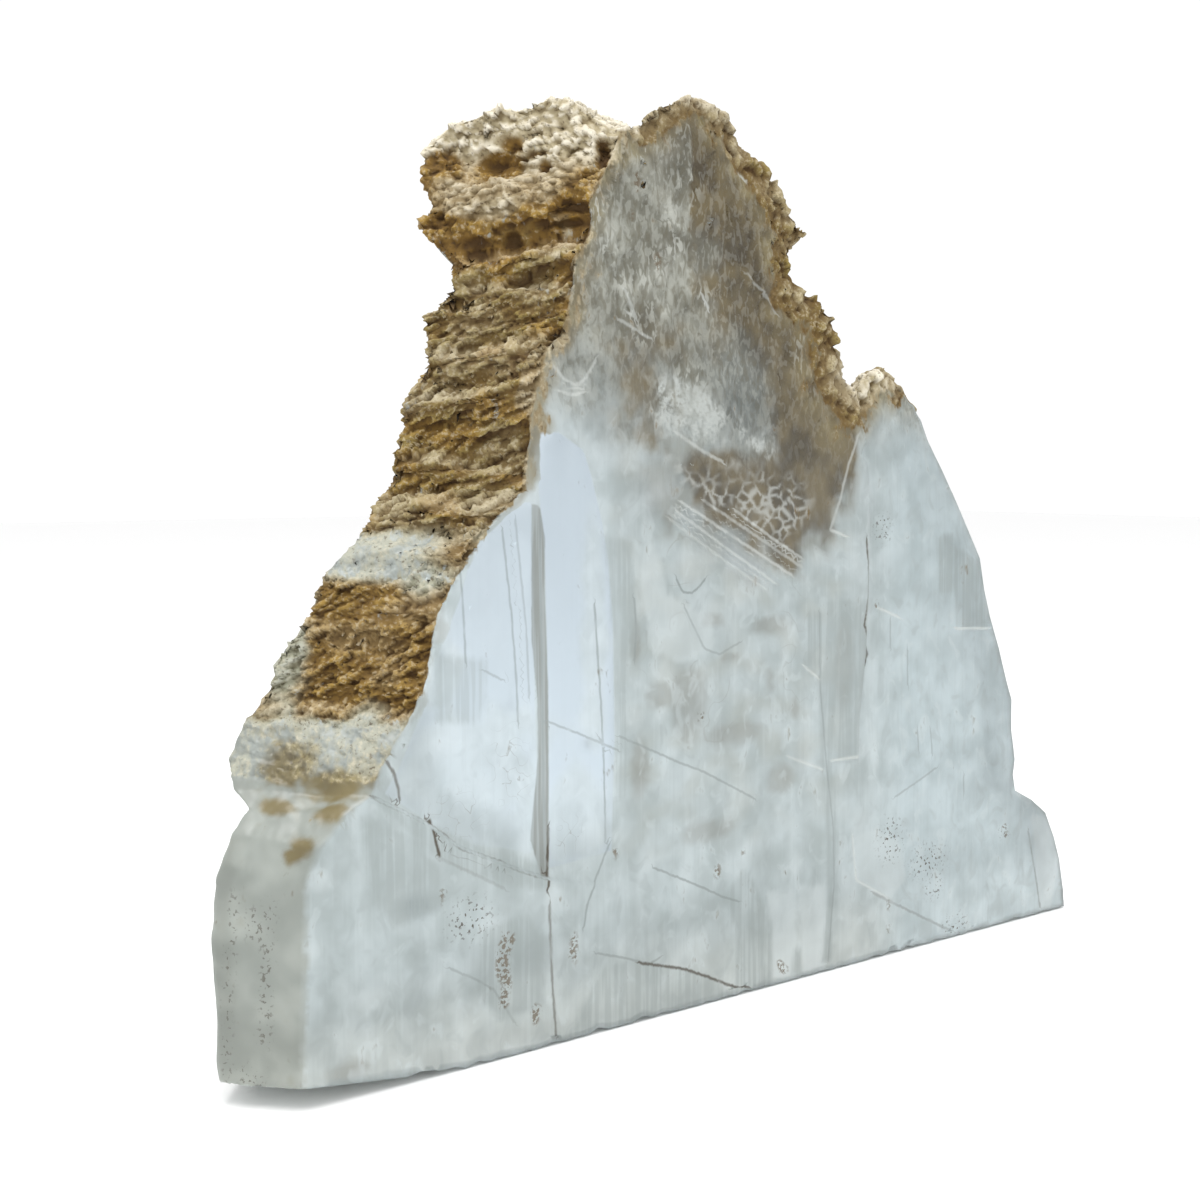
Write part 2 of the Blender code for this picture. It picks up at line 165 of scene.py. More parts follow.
# Bluish clear patch, chalky white bruises, brown stained areas and the area of the web of cracks
BLUE_PATCHES = [[(150, 221), (161.5, 222.5), (172, 215), (173, 190), (164, 193), (151, 201)]]
WHITE_PATCHES = [
    [(128, 208), (139, 210), (150, 203), (163, 193.2), (152, 192), (136, 192.6), (128.5, 198)],
    [(153, 199), (164, 193.2), (174, 188.5), (173, 187), (163, 190)],
    [(154, 293), (160, 290), (163, 280), (158, 282)],
]
BROWN_PATCHES = [
    [(108, 222), (118, 236), (136, 226), (133, 203.5), (131, 186), (119.5, 187.5), (110, 196.5)],
    [(176, 243), (200, 238), (210, 222), (217, 203), (214, 183), (209, 168), (200, 155), (186.5, 145),
     (140.5, 168.5), (133, 181), (136, 189), (164, 184), (174, 188), (175, 215)],
    [(150, 291), (165, 283), (182, 265), (187, 250), (180, 228), (161, 236), (158, 258), (146, 276)],
]
WEB_PANES = [
    [(157, 178), (171, 180), (189, 177.5), (194, 170.5), (193.5, 160), (180, 155.5), (164, 164),
     (140, 169.5), (133.5, 184)],
]

# Lines of the cleavage face, as (strength, points): dark cracks, grey traces, pale veins
CRACKS = [
    (0.75, [(23.4, 87.8), (32.4, 82.8), (42.2, 77), (47.3, 73.2), (52.4, 68.5), (66.4, 62.1),
            (74.7, 57.7), (84, 54)]),
    (0.25, [(44.8, 66.7), (55.8, 60.7), (67.4, 53.9)]),
    (1.0, [(42.6, 78.4), (44.2, 71), (45.5, 66)]),
    (1.0, [(84.8, 70), (84.4, 58), (84, 51.1)]),
    (0.7, [(84.4, 46), (84.7, 36.6), (85.4, 20.7), (86.9, 3.3)]),
    (0.9, [(120.2, 20), (138.4, 14.4), (148.4, 9.9), (158.8, 4.7), (168, 0.6)]),
    (0.9, [(222.7, 155.9), (224.5, 143.2), (224.2, 134.5), (222.4, 125.2), (226.2, 114.4), (224.3, 109)]),
    (0.8, [(29, 97), (31.2, 93.2), (32.5, 88.6), (32.7, 85.7)]),
    (0.4, [(228.7, 25.2), (246.6, 16), (272.2, 2.8)]),
    (0.45, [(317.5, 35.8), (322.6, 17.7), (326.4, 2.9)]),
]
TRACES = [
    (0.7, [(85.7, 103), (98.2, 97.6), (111.1, 91.7)]),
    (0.6, [(112.3, 95.8), (128.2, 88.5), (136.7, 84.5), (147, 80.3), (156.3, 75.4), (169.5, 68.5)]),
    (0.7, [(126.3, 50.8), (146, 41.2), (155.8, 36.1), (162.6, 33.5)]),
    (0.6, [(102.8, 26.7), (115.7, 22.2), (123.9, 18.9), (128.5, 20.1)]),
    (0.7, [(108, 61.2), (103.6, 52.1), (98.9, 42.8), (97.7, 36.5)]),
    (0.5, [(48.6, 32.3), (57.3, 27.4), (63.6, 23), (68.3, 15.7), (71.2, 10.9)]),
    (0.5, [(199.8, 130.8), (200.3, 104.5), (204.2, 73.5), (207.6, 53), (208.5, 31.2), (206, 4.2)]),
    (0.8, [(134.6, 145.3), (137.2, 141.2), (141.4, 140.7), (144.8, 143.2), (146.5, 144.8)]),
    (0.5, [(138, 136), (140.6, 131.8), (146.7, 121.8), (153.3, 119.6), (162.1, 122.7)]),
    (0.8, [(102.1, 138.8), (103.2, 126.1), (104.8, 106.5), (106, 86.8), (106.8, 62.7)]),
    (0.6, [(117.4, 139.9), (118.3, 129.9), (117.5, 120.3)]),
    (0.5, [(252.5, 83.7), (252.7, 76.1)]),
    (0.5, [(259.7, 82.6), (260, 73.8)]),
    (0.5, [(277.9, 63.1), (278.1, 56.4)]),
    (0.5, [(238, 126.1), (238.2, 115.7)]),
    (0.5, [(247.4, 114), (247.7, 101.2)]),
    (0.6, [(62.2, 121), (68.2, 117.8)]),
    (0.7, [(68.6, 163), (70.4, 150), (72, 136), (73.4, 118), (74, 104)]),
    (0.5, [(73.2, 166), (75.2, 150), (77, 134), (78, 112)]),
    (0.7, [(54.2, 151), (55.2, 138), (55.8, 124)]),
    (0.6, [(82.2, 166), (82.4, 140), (82.8, 112), (83, 84), (83.4, 62)]),
    (0.5, [(240, 60), (262, 68)]),
]
VEINS = [
    (0.6, [(136.4, 170.6), (162.2, 157.2), (186.2, 144.8)]),
    (0.5, [(134.4, 167.7), (157.8, 154), (178.8, 142.1)]),
    (0.45, [(146, 171), (170, 158.4), (191, 147.4)]),
    (0.35, [(131, 165.5), (156, 150.5), (174, 140.5)]),
    (0.5, [(160, 167.5), (175.7, 158.4), (190.5, 150.7)]),
    (0.5, [(134.4, 192.9), (144.5, 187.6), (154, 183.7)]),
    (0.45, [(217.4, 193.4), (213.1, 183.2), (208.9, 170.1), (204.6, 160)]),
    (0.7, [(204.6, 160), (212.6, 157.5)]),
    (0.7, [(224.3, 109), (221.6, 89.8), (220.3, 77.1), (207.2, 77.5)]),
    (0.6, [(192.4, 112.6), (199.2, 107.8)]),
    (0.5, [(185.7, 81), (201.3, 74.9)]),
    (0.5, [(217.3, 47.9), (219.7, 31.6), (237.3, 21.5)]),
    (0.6, [(232.1, 130.5), (242.7, 126.6)]),
    (0.7, [(273.8, 120.6), (293.1, 119.4)]),
    (0.5, [(113.7, 237.1), (118.8, 228.8), (115.6, 230.4)]),
    (0.45, [(112.5, 227.8), (123.6, 222.8)]),
    (0.55, [(87, 212), (91, 208.5), (96, 207), (99, 209.5), (103, 215)]),
    (0.6, [(89, 205), (94, 204), (98, 205)]),
    (0.6, [(160.9, 278.7), (167.9, 274.9)]),
    (0.6, [(145.8, 237.7), (147.5, 233.7)]),
    (0.35, [(164.3, 245.9), (172.4, 240.5), (178.8, 234)]),
]

# Earthy stains made of grains: radius and the points they run through
MARKS = [
    (2.3, [(69.1, 37.6), (67.2, 35), (66.9, 29.5), (68, 25.2), (68.7, 22.3), (67.6, 17.8)]),
    (1.5, [(93.8, 34), (93.4, 27.5)]),
    (1.4, [(79.7, 13.6), (79.2, 9.2)]),
    (1.1, [(110.4, 58.1), (110.6, 57.0)]),
    (1.0, [(164.7, 50.9), (164.7, 49.6)]),
    (1.3, [(153.5, 46.5), (153.6, 44)]),
    (0.9, [(145.1, 101), (145.2, 98)]),
    (1.0, [(230.5, 133), (230.7, 131.3)]),
    (1.2, [(237.3, 20.6), (237.4, 17.8)]),
    (1.0, [(237, 10.9), (237.2, 8.5)]),
    (1.1, [(118.3, 273), (118.6, 268.6)]),
    (0.9, [(127.0, 249), (127.4, 244.5)]),
    (0.8, [(116.8, 261.6), (116.9, 259.3)]),
    (1.0, [(46.1, 57), (46.3, 52.5)]),
    (1.3, [(303, 39), (304, 36)]),
    (1.2, [(182, 7.9), (184.9, 4.7)]),
]
# Clusters of fine black specks: centre and radii
SPECKS = [
    ((237.3, 43.9), (8, 10)), ((258.3, 32.7), (12, 8)), ((262, 21.9), (6, 5)), ((274.5, 4.5), (8, 6)),
    ((55.7, 46), (9, 8)), ((303, 38), (4, 3)), ((233, 160), (5, 6)),
]
# Columns of specks on the cleaved side, as (along Y, along Z), each (from, to, softness)
SIDE_SPECKS = [
    ((14.5, 16.5, 0.8), (6, 62, 3)), ((6.5, 9, 0.8), (18, 60, 3)), ((8.5, 12.5, 1), (49, 58, 2)),
    ((8, 13, 1.5), (5, 13, 2)),
]
# Clusters of pale flakes on the etched face: centre and radii
FLAKY = [
    ((108, 250), (4, 9)), ((113, 238), (4, 8)), ((118, 229), (6, 4)), ((122, 224), (8, 5)),
    ((146, 236), (4, 5)), ((121, 282), (4, 8)), ((133, 262), (7, 7)), ((165, 277), (5, 4)),
    ((150, 292), (7, 5)), ((205, 236), (8, 7)), ((190, 222), (5, 12)), ((140, 212), (8, 5)),
    ((128, 246), (5, 8)), ((198, 214), (6, 12)), ((178, 254), (6, 5)), ((104, 264), (4, 12)),
    ((120, 240), (5, 6)), ((127, 232), (6, 5)), ((134, 252), (6, 9)), ((140, 272), (7, 8)),
]
# Dark grey smudges in the crystal: centre and radii
SMUDGES = [
    ((140, 104), (10, 16)), ((160, 92), (16, 5)), ((128, 108), (7, 5)), ((182, 74), (8, 7)),
    ((150, 60), (14, 5)), ((176, 128), (12, 4)), ((120, 84), (5, 14)), ((212, 112), (6, 22)),
    ((176.4, 108.6), (2.2, 5)), ((188.3, 97.4), (2.6, 4.5)), ((131, 163.6), (3, 6)), ((168, 143), (4, 3)),
    ((150, 131), (6, 2.2)), ((158, 118), (5, 2)), ((118, 126), (3, 9)), ((141, 99), (2, 3)),
    ((15, 9), (9, 4)),
]
# Fine dark crackle: centre and radii
CRACKLES = [((71, 91), (9, 14)), ((52, 78), (12, 8)), ((93, 66), (6, 8))]
POOLS = [((36.5, 53.5), (9.5, 4.2))]    # dull oval low on the face

# Tan and ochre stains on the knob and the lower side: centre and radii
TAN_STAINS = [
    ((7, 20, 95), (9, 9, 8)), ((17, 9, 91), (12, 10, 5)), ((25, 2, 92), (4, 4, 3)),
    ((12, 3, 84), (5, 4, 3)), ((3, 4, 75), (3.5, 4, 3)), ((1, 5, 73), (3, 3, 2.5)), ((1, 16, 85), (4, 5, 3)),
]
# Cleanest, milky places of the flank: centre and radii
WHITE_SPOTS = [
    ((-3, 30, 96), (6, 7, 9)), ((21, 12, 103), (11, 9, 4.5)), ((33, 23, 155), (8, 7, 5)),
    ((9, 31, 126), (7, 6, 14)), ((46, 8, 148), (6, 6, 4)),
]

# Scaly ochre spot beside the pale band, and the lump's creamiest and most amber places
OCHRE_SPOTS = [((55, 5, 156), (9, 9, 8))]
CREAM_SPOTS = [((72, 28, 265), (7, 8, 5)), ((81, 22, 264), (9, 9, 6)), ((92, 12, 269), (7, 7, 5))]
AMBER_SPOTS = [
    ((66, 34, 254), (7, 7, 5)), ((76, 26, 250), (9, 9, 5)), ((91, 11, 257), (9, 9, 4)),
    ((70, 37, 278), (6, 6, 4)), ((85, 27, 277), (6, 6, 4)), ((88, 24, 282), (5, 5, 3)),
    ((98, 3, 262), (5, 5, 5)),
]
TIP_SPOTS = [((224, 10, 214), (14, 30, 10))]    # creamy tip of the second crystal

# Noise patterns of the finish: name, size of a grain along each axis in mm, octaves, swirl.
# Sugary gypsum has grains of about 0.3 mm and the cleavage has fibres of about 0.1 mm. Both are
# too fine to show, so they are drawn at 1.3 mm and 1.4 to 1.6 mm. The wisps are milky clouds of
# 7 to 10 mm, at their real size.
GRAINS = [
    ("fine", (1.3, 1.3, 1.3), 2.0, 0.0),
    ("upright", (1.4, 1.4, 40), 1.0, 0.0),
    ("fibre", (1.6, 1.6, 3.8), 1.0, 0.6),
    ("wisps", (7, 7, 10), 2.0, 0.7),
]
NOISE_ROUGHNESS = 0.55          # how strongly each finer octave shows, and how much finer it is
NOISE_LACUNARITY = 2.0
WEB_MESH = (5.4, 5.4, 4.3)      # size of the meshes in the web of white cracks
WEB_LINE = (0.1, 0.7)           # distance from a web line's middle at which it fades, and is gone
WEB_STRENGTH = 0.55

# Half width of each kind of line in mm; hairline cracks are finer and are drawn this wide to show
LINE_WIDTHS = [("crack", 0.85), ("trace", 0.65), ("vein", 0.9)]

# Gypsum's refractive index, and the faint blue it takes on with depth: colour, and density per metre
GYPSUM_IOR = 1.52
GYPSUM_TINT = "bcd2dc"
GYPSUM_ABSORPTION = 6.0
CLEAVAGE_ROUGHNESS = 0.34       # scuffed cleavage, a satin sheen
WINDOW_ROUGHNESS = 0.28         # cleaner panes, a little glossier
CRUST_ROUGHNESS = 0.82          # granular crust, matt
CRUST_BUMP = 0.6                # height in mm of the grain too fine for the mesh
CRUST_BUMP_STRENGTH = 0.6
PAPER_ROUGHNESS = 0.7

COLOUR_MIX = {"data_type": "RGBA"}
SOFT_STEP = {"interpolation_type": "SMOOTHSTEP"}

# Washes over the crystal, in order: name, darkest and lightest colour, how much they cloud it
WASHES = [
    ("milk", "b0bab9", "cbd5d6", 0.0),
    ("wisp", "dee6e7", "dee6e7", 0.2),
    ("dark_band", "a8b1b0", "a8b1b0", 0.0),
    ("light_band", "dbe4e5", "dbe4e5", 0.0),
    ("fog", "bcc2be", "ced4d0", 0.65),
    ("tint", "a9aca2", "babeb7", 0.15),
    ("smudge", "7f7d73", "8f8f86", 0.1),
    ("pool", "6f7a7c", "7c8688", 0.2),
    ("right", "b9c7ca", "d0dee2", 0.0),
    ("side", "888c84", "a0a49b", 0.5),
    ("etched", "6e6d60", "a0a196", 0.6),
    ("smoke", "3a2f15", "615434", 0.5),
    ("brown", "35290e", "5f512e", 0.85),
    ("blue", "5f6562", "757b78", 0.0),
    ("margin", "64583a", "857a57", 0.6),
    ("stain", "5e5230", "75683f", 0.85),
]
CLEARNESS = 0.56                # how clear the crystal is before any wash
WINDOW_CLEARNESS = 0.32         # how much clearer the window panes are

# Stored colours, and stored numbers three to an attribute that has the first one's name
COLOURS = ["crystal_colour", "crust_colour"]
TRIOS = [
    ("crust", "etched", "plain"), ("window", "stripe", "white"), ("grey", "pale", "web"),
    ("crack_gap", "trace_gap", "vein_gap"), ("crack", "trace", "vein"), ("curl_area", "curls", "mark"),
    ("specks", "unveiled", "flaky"),
]

# Crust colours laid one over another, each light on its crests, then middle, then dark in its hollows:
# partly the crust's own amber in its hollows, partly painted light on crests and painted shade in hollows
STONES = [
    ("tan", "85733c", "624b19", "422907"),
    ("ochre", "997831", "6f5216", "422a03"),
    ("cream", "dcd5c3", "a69a7c", "5d481d"),
    ("whitish", "a6a799", "989884", "7c765e"),
    ("stain", "8a7d52", "776a40", "523b12"),
]

# Shares made from a pattern or a stored number: name, source, how far noise shifts it, low, high,
# result at low, result at high
SHARES = [
    ("crust", "crust", 1.5, 0.3, 0.7, 0, 1),
    # Pale sugary grains, partly a painted glint on their facets.
    ("sugar_and_glint", "fine", 0, 0.5, 0.66, 0, 0.3),
    # Dark pits: painted shade of pits too small for the mesh.
    ("pits", "fine", 0, 0.3, 0.42, 0.6, 0),
    ("broken", "wisps", 0, 0.36, 0.56, 0.15, 1),
    ("solid", "wisps", 0, 0.3, 0.45, 0.6, 1),
    ("mottle", "wisps", 0, 0.3, 0.46, 0.4, 0),
    ("bright_mottle", "wisps", 0, 0.54, 0.68, 0, 0.35),
    ("streaks", "upright", 0, 0.52, 0.72, 0, 0.14),
    ("bright_streaks", "upright", 0, 0.28, 0.42, 0.12, 0),
    ("curl_rise", "curls", 0.08, -0.05, 0.0, 0, 1),
    ("curl_fall", "curls", 0.08, 0.0, 0.05, 1, 0),
    ("flakes", "fibre", 0, 0.5, 0.6, 0, 0.75),
    # Dark gaps between the fibre flakes: painted shade.
    ("flake_shade", "fibre", 0, 0.34, 0.46, 0.4, 0),
    ("window", "window", 0, -0.5, 0.5, 0, 1),
    ("pale", "pale", 3, -1.6, 1.2, 0, 0.5),
    ("grey", "grey", 3, -1.6, 1.4, 0, 0.65),
    ("stripe", "stripe", 0.6, -0.4, 0.4, 0, 0.9),
    ("ribs", "upright", 0, 0.42, 0.58, 0, 1),
    ("hatch", "upright", 0, 0.4, 0.56, 0.5, 1),
    ("white_patch", "white", 14, -3, 3, 0, 1),
    ("flecks", "fine", 0, 0.34, 0.54, 0.3, 0.9),
    ("dots", "fine", 0, 0.58, 0.64, 0, 1),
    ("mark_area", "mark", 2, -0.8, 0.8, 0, 0.85),
    ("grains", "fine", 0, 0.47, 0.54, 0, 1),
]
# Shares made from two others: name, operation, first, second
JOINED = [
    ("bright", "MAXIMUM", "bright_streaks", "bright_mottle"),
    ("bright", "MULTIPLY", "bright", "plain"),
    ("dim", "MAXIMUM", "streaks", "mottle"),
    ("dim", "MULTIPLY", "dim", "plain"),
    ("curl", "MULTIPLY", "curl_rise", "curl_fall"),
    ("curl", "MULTIPLY", "curl", "curl_area"),
    ("web", "MULTIPLY", "web", "broken"),
    ("window", "MULTIPLY", "window", "unveiled"),
    ("grey", "MULTIPLY", "grey", "hatch"),
    ("vein", "MULTIPLY", "vein", "solid"),
    ("trace", "MULTIPLY", "trace", "solid"),
    ("crack", "MULTIPLY", "crack", "solid"),
    ("veins", "ADD", "web", "vein"),
    ("specks", "MULTIPLY", "specks", "dots"),
    ("mark", "MULTIPLY", "mark_area", "grains"),
    ("dark", "ADD", "crack", "specks"),
    ("white_patch", "MULTIPLY", "white_patch", "flecks"),
    ("white_patch", "MULTIPLY", "white_patch", "broken"),
    ("flakes", "MULTIPLY", "flaky", "flakes"),
    # Painted shade between the flakes, over the etched face.
    ("flake_shade", "MULTIPLY", "etched", "flake_shade"),
    # The pale grains are kept to the crests: partly painted glint.
    ("sugar_and_glint", "MULTIPLY", "sugar_and_glint", "crest"),
]
# Colours blended from two others: name, first, second, share of the second
BLENDS = [
    ("window_glass", "d3dee6", "c4cfd5", "streaks"),
    ("stripe_glass", "7a7b73", "969b97", "ribs"),
]
# Details laid over the washes, in order: share, colour
DETAILS = [
    # The dark gaps between the etched face's flakes are painted shade.
    ("bright", "dfe8e9"), ("dim", "a5aead"), ("curl", "85857b"), ("flakes", "c0c2b9"), ("flake_shade", "5d5640"),
    ("window", "window_glass"), ("pale", "dae2e2"), ("grey", "a2aba9"), ("stripe", "stripe_glass"),
    ("white_patch", "b4b9b5"), ("trace", "868e8c"), ("veins", "c0c4c0"),
    ("mark", "5f4f38"), ("dark", "453d30"),
]
# Dark pits from a fine noise are painted shade of pits too small for the mesh.
# Pale sugary grains on the crests are partly a painted glint.
CRUST_DETAILS = [("sugar_and_glint", "d6ccb4"), ("pits", "4a361a")]
# Details that cloud the crystal, and by how much
CLOUDED_BY = {"crust": 1.0, "veins": 0.9, "dark": 0.9, "mark": 0.9, "white_patch": 0.7}


def smooth(value, low, high):
    """Rise from 0 at low to 1 at high with a soft start and end."""
    share = np.clip((value - low) / (high - low), 0.0, 1.0)
    return share * share * (3.0 - 2.0 * share)


def band(value, low, high, edge):
    """1 between low and high, fading out over edge on both sides."""
    return smooth(value, low - edge, low + edge) * (1.0 - smooth(value, high - edge, high + edge))


def blobs(x, z, places):
    """1 at the middle of each ellipse, fading to 0 a little outside it."""
    share = np.zeros(x.shape)
    for (at_x, at_z), (wide, high) in places:
        reach = np.hypot((x - at_x) / wide, (z - at_z) / high)
        share = np.maximum(share, 1.0 - smooth(reach, 0.3, 1.3))
    return share


def line_gap(x, z, line):
    """Signed distance to a line of straight stretches, seen from the front."""
    gap = np.full(x.shape, 1e6)
    for (x0, z0), (x1, z1) in zip(line, line[1:]):
        dx, dz = x1 - x0, z1 - z0
        share = np.clip(((x - x0) * dx + (z - z0) * dz) / (dx * dx + dz * dz), 0.0, 1.0)
        off_x, off_z = x - x0 - share * dx, z - z0 - share * dz
        side = np.where(dx * off_z - dz * off_x < 0, -1.0, 1.0)
        distance = np.hypot(off_x, off_z)
        gap = np.where(distance < np.abs(gap), side * distance, gap)
    return gap


def inset(x, z, outlines):
    """How deep each point lies inside the nearest outline; negative outside all of them."""
    depth = np.full(x.shape, -1e6)
    for outline in outlines:
        closed = outline + outline[:1]
        within = np.zeros(x.shape, dtype=bool)
        for (x0, z0), (x1, z1) in zip(closed, closed[1:]):
            if z0 != z1:
                within ^= ((z0 > z) != (z1 > z)) & (x < (x1 - x0) * (z - z0) / (z1 - z0) + x0)
        gap = np.abs(line_gap(x, z, closed))
        depth = np.maximum(depth, np.where(within, gap, -gap))
    return depth.clip(-20, 20)


def nearest_line(x, z, lines):
    """Signed distance to the nearest line, and that line's strength close to it."""
    gap = np.full(x.shape, 1e6)
    strength = np.zeros(x.shape)
    for line_strength, line in lines:
        one = line_gap(x, z, line)
        nearer = np.abs(one) < np.abs(gap)
        gap = np.where(nearer, one, gap)
        strength = np.where(nearer, line_strength, strength)
    return gap.clip(-20, 20), strength * (1.0 - smooth(np.abs(gap), 1.4, 2.4))


def noise_at(points, size, offset=0.0):
    """Smooth noise from about -1 to 1; size gives the size of its features along each axis."""
    spots = points / np.array(size, dtype=float) + offset
    return np.array([noise.noise(Vector(spot)) for spot in spots])


def domes_at(points, size, offset=0.0):
    """Rounded grains packed side by side, from 0 in the creases to 1 on top."""
    spots = points / np.array(size, dtype=float) + offset
    near = np.array([noise.voronoi(Vector(spot))[0][0] for spot in spots])
    return 1.0 - near * near


def seams_at(points, size, offset=0.0):
    """Distance in millimetres to the nearest seam between two grains packed side by side."""
    spots = points / np.array(size, dtype=float) + offset
    gap = np.empty(len(spots))
    for index, spot in enumerate(spots):
        (first, second, *_), (here, there, *_) = noise.voronoi(Vector(spot))
        gap[index] = (second * second - first * first) / (2 * (there - here).length)
    return gap * min(size)


def flakes_at(points, size, tilt, offset=0.0):
    """Flat scales of random height that each slope back from their lower lip."""
    spots = points / np.array(size, dtype=float) + offset
    relief = np.empty(len(spots))
    for index, spot in enumerate(spots):
        middle = noise.voronoi(Vector(spot))[1][0]
        relief[index] = noise.cell(middle * 7.31) - tilt * (spot[2] - middle[2])
    return relief


def places_at(points, places, wander=0.0):
    """1 inside each ellipsoid of (centre, radii), fading to 0 a little outside it."""
    share = np.zeros(len(points))
    for centre, radii in places:
        reach = np.linalg.norm((points - np.array(centre)) / np.array(radii), axis=1)
        share = np.maximum(share, 1.0 - smooth(reach + 0.16 * wander, 0.2, 1.7))
    return share


def steady(values, edges, share, rounds):
    """Move each value by its share toward the average of its neighbours, for a number of rounds."""
    count = np.bincount(edges.ravel(), minlength=len(values)).astype(float)
    if values.ndim > 1:
        count = count[:, None]
        share = share[:, None]
    for _ in range(rounds):
        total = np.zeros_like(values)
        np.add.at(total, edges[:, 0], values[edges[:, 1]])
        np.add.at(total, edges[:, 1], values[edges[:, 0]])
        values = values + share * (total / count - values)
    return values


def wanted_edge(points):
    """Length that the mesh's edges should have at each point."""
    x, y, z = points.T
    left = np.interp(z, EDGE_Z, EDGE_X) - x
    step = MESH_STEP
    length = np.full(x.shape, step["plain"])
    on_face = y < 6
    length = np.where(on_face, step["face"], length)
    length = np.where(on_face & (z > 186), step["etched"], length)
    length = np.where(on_face & (inset(x, z, WEB_PANES) > -1), step["web"], length)
    length = np.where(on_face & (blobs(x, z, CRACKLES) > 0.1), step["crackle"], length)
    length = np.where(on_face & (np.abs(inset(x, z, WINDOWS + STRIPES)) < 2), step["pane"], length)
    length = np.where((np.abs(line_gap(x, z, CRUST_RIM)) < 12) & (y < 30), step["rim"], length)
    beside = (left > -2) & (y < np.where(z > 235, 48, 34))
    length = np.where(beside & (z <= FOOT_TOP), np.where(z > 64, step["knob"], step["foot"]), length)
    length = np.where(beside & (z > FOOT_TOP), step["flank"], length)
    near = np.zeros(x.shape, dtype=bool)
    for _, line in CRACKS + TRACES + VEINS:
        near |= np.abs(line_gap(x, z, line)) < 2.2
    return np.where(on_face & near, np.minimum(length, step["line"]), length)


def fine_copy(node, corner):
    """A finely divided copy of the node's mesh, welded, as a new object."""
    bm = bmesh.new()
    bm.from_mesh(node.data)
    bmesh.ops.remove_doubles(bm, verts=bm.verts[:], dist=WELD * MM)
    for _ in range(SPLIT_ROUNDS):
        middles = np.array([(edge.verts[0].co + edge.verts[1].co) / 2 for edge in bm.edges])
        lengths = np.array([edge.calc_length() for edge in bm.edges]) / MM
        long = lengths > SPLIT_OVER * wanted_edge(middles / MM - corner)
        if not long.any():
            break
        edges = [edge for edge, split in zip(bm.edges, long) if split]
        bmesh.ops.subdivide_edges(bm, edges=edges, cuts=1, use_grid_fill=True)
        bmesh.ops.triangulate(bm, faces=[face for face in bm.faces if len(face.verts) > 3])
    mesh = bpy.data.meshes.new("slab_surface")
    bm.to_mesh(mesh)
    bm.free()
    piece = bpy.data.objects.new("slab_surface", mesh)
    bpy.context.scene.collection.objects.link(piece)
    return piece


class Zones:
    """Which finish each point of the slab has, as numbers from 0 to 1."""

    def __init__(self, points, normals):
        x, y, z = points.T
        self.wander = 3.0 * noise_at(points, (11, 11, 9)) + 1.2 * noise_at(points, (3.5, 3.5, 3), 9.0)
        wander = self.wander
        self.left = np.interp(z, EDGE_Z, EDGE_X) - x
        self.level = z + LEDGE_RISE * smooth(z, 158, 185) * self.left.clip(0, 45) + 0.5 * wander
        self.face = smooth(-normals[:, 1], 0.80, 0.94) * (y < 9.0)
        self.back = smooth(normals[:, 1], 0.70, 0.92) * (y > 24.0)
        self.base = smooth(-normals[:, 2], 0.7, 0.9) * (z < 8.0)
        flank = smooth(self.left + 0.35 * wander, -1.2, 0.8)
        flank = np.maximum(flank, (1.0 - self.face) * (z > 96) * (x < FLANK_END) * smooth(self.left, -9, -7))
        flank = np.where(z > 283, np.maximum(flank, smooth(z + 0.5 * wander, 285, 287)), flank)
        self.flank = np.where(x > FLANK_END, 0.0, flank) * (1.0 - self.back) * (1.0 - self.base)
        self.sheet = np.maximum(self.face, self.back)
        # Painted top light: faces of the flank turned up come out lighter and creamier, as if lit from
        # above.
        self.painted_top_light = 0.5 * self.flank * smooth(normals[:, 2], 0.25, 0.8)
        spot = places_at(points, OCHRE_SPOTS, wander)
        level = self.level
        self.lump = self.flank * smooth(level, 258, 264)
        self.recess = self.flank * band(level, 250, 261, 2.5)
        self.ledges = self.flank * band(level, 163, 251, 3.0)
        self.pale = self.flank * band(level, 149, 163, 3.0) * (1.0 - spot)
        self.scales = self.flank * np.maximum(band(level, 108, 149, 3.0), spot)
        self.knob = self.flank * band(level, 91, 108, 1.5)
        self.side = self.flank * (1.0 - smooth(level, 89.5, 92.5))

        inward = np.abs(line_gap(x + 2.2 * wander, z + 2.2 * wander, CRUST_RIM))
        on_right = (x > RIM_START) | (z > 286)
        width = np.interp(x, RIM_WIDTH_X, RIM_WIDTH)
        rim = on_right * (1.0 - smooth(inward, 0.1 * width, 1.15 * width))
        edge_on = (1 - self.face) * (1 - self.back) * smooth(z + wander, 190, 200) * (x < 252)
        self.rim = np.maximum(rim, on_right * edge_on) * (1.0 - self.flank)
        first = smooth(z + 0.2 * (x - 150) + 4 * wander, 162, 228)
        second = smooth(z + 2 * wander, 184, 216)
        self.etched = self.sheet * (1.0 - self.rim) * np.where(x > 216, second, first)


def on_zone(share, points, make):
    """A relief worked out only where its zone is, and weighted by the zone's share."""
    lift = np.zeros(len(points))
    chosen = share > 0.01
    lift[chosen] = share[chosen] * make(points[chosen])
    return lift


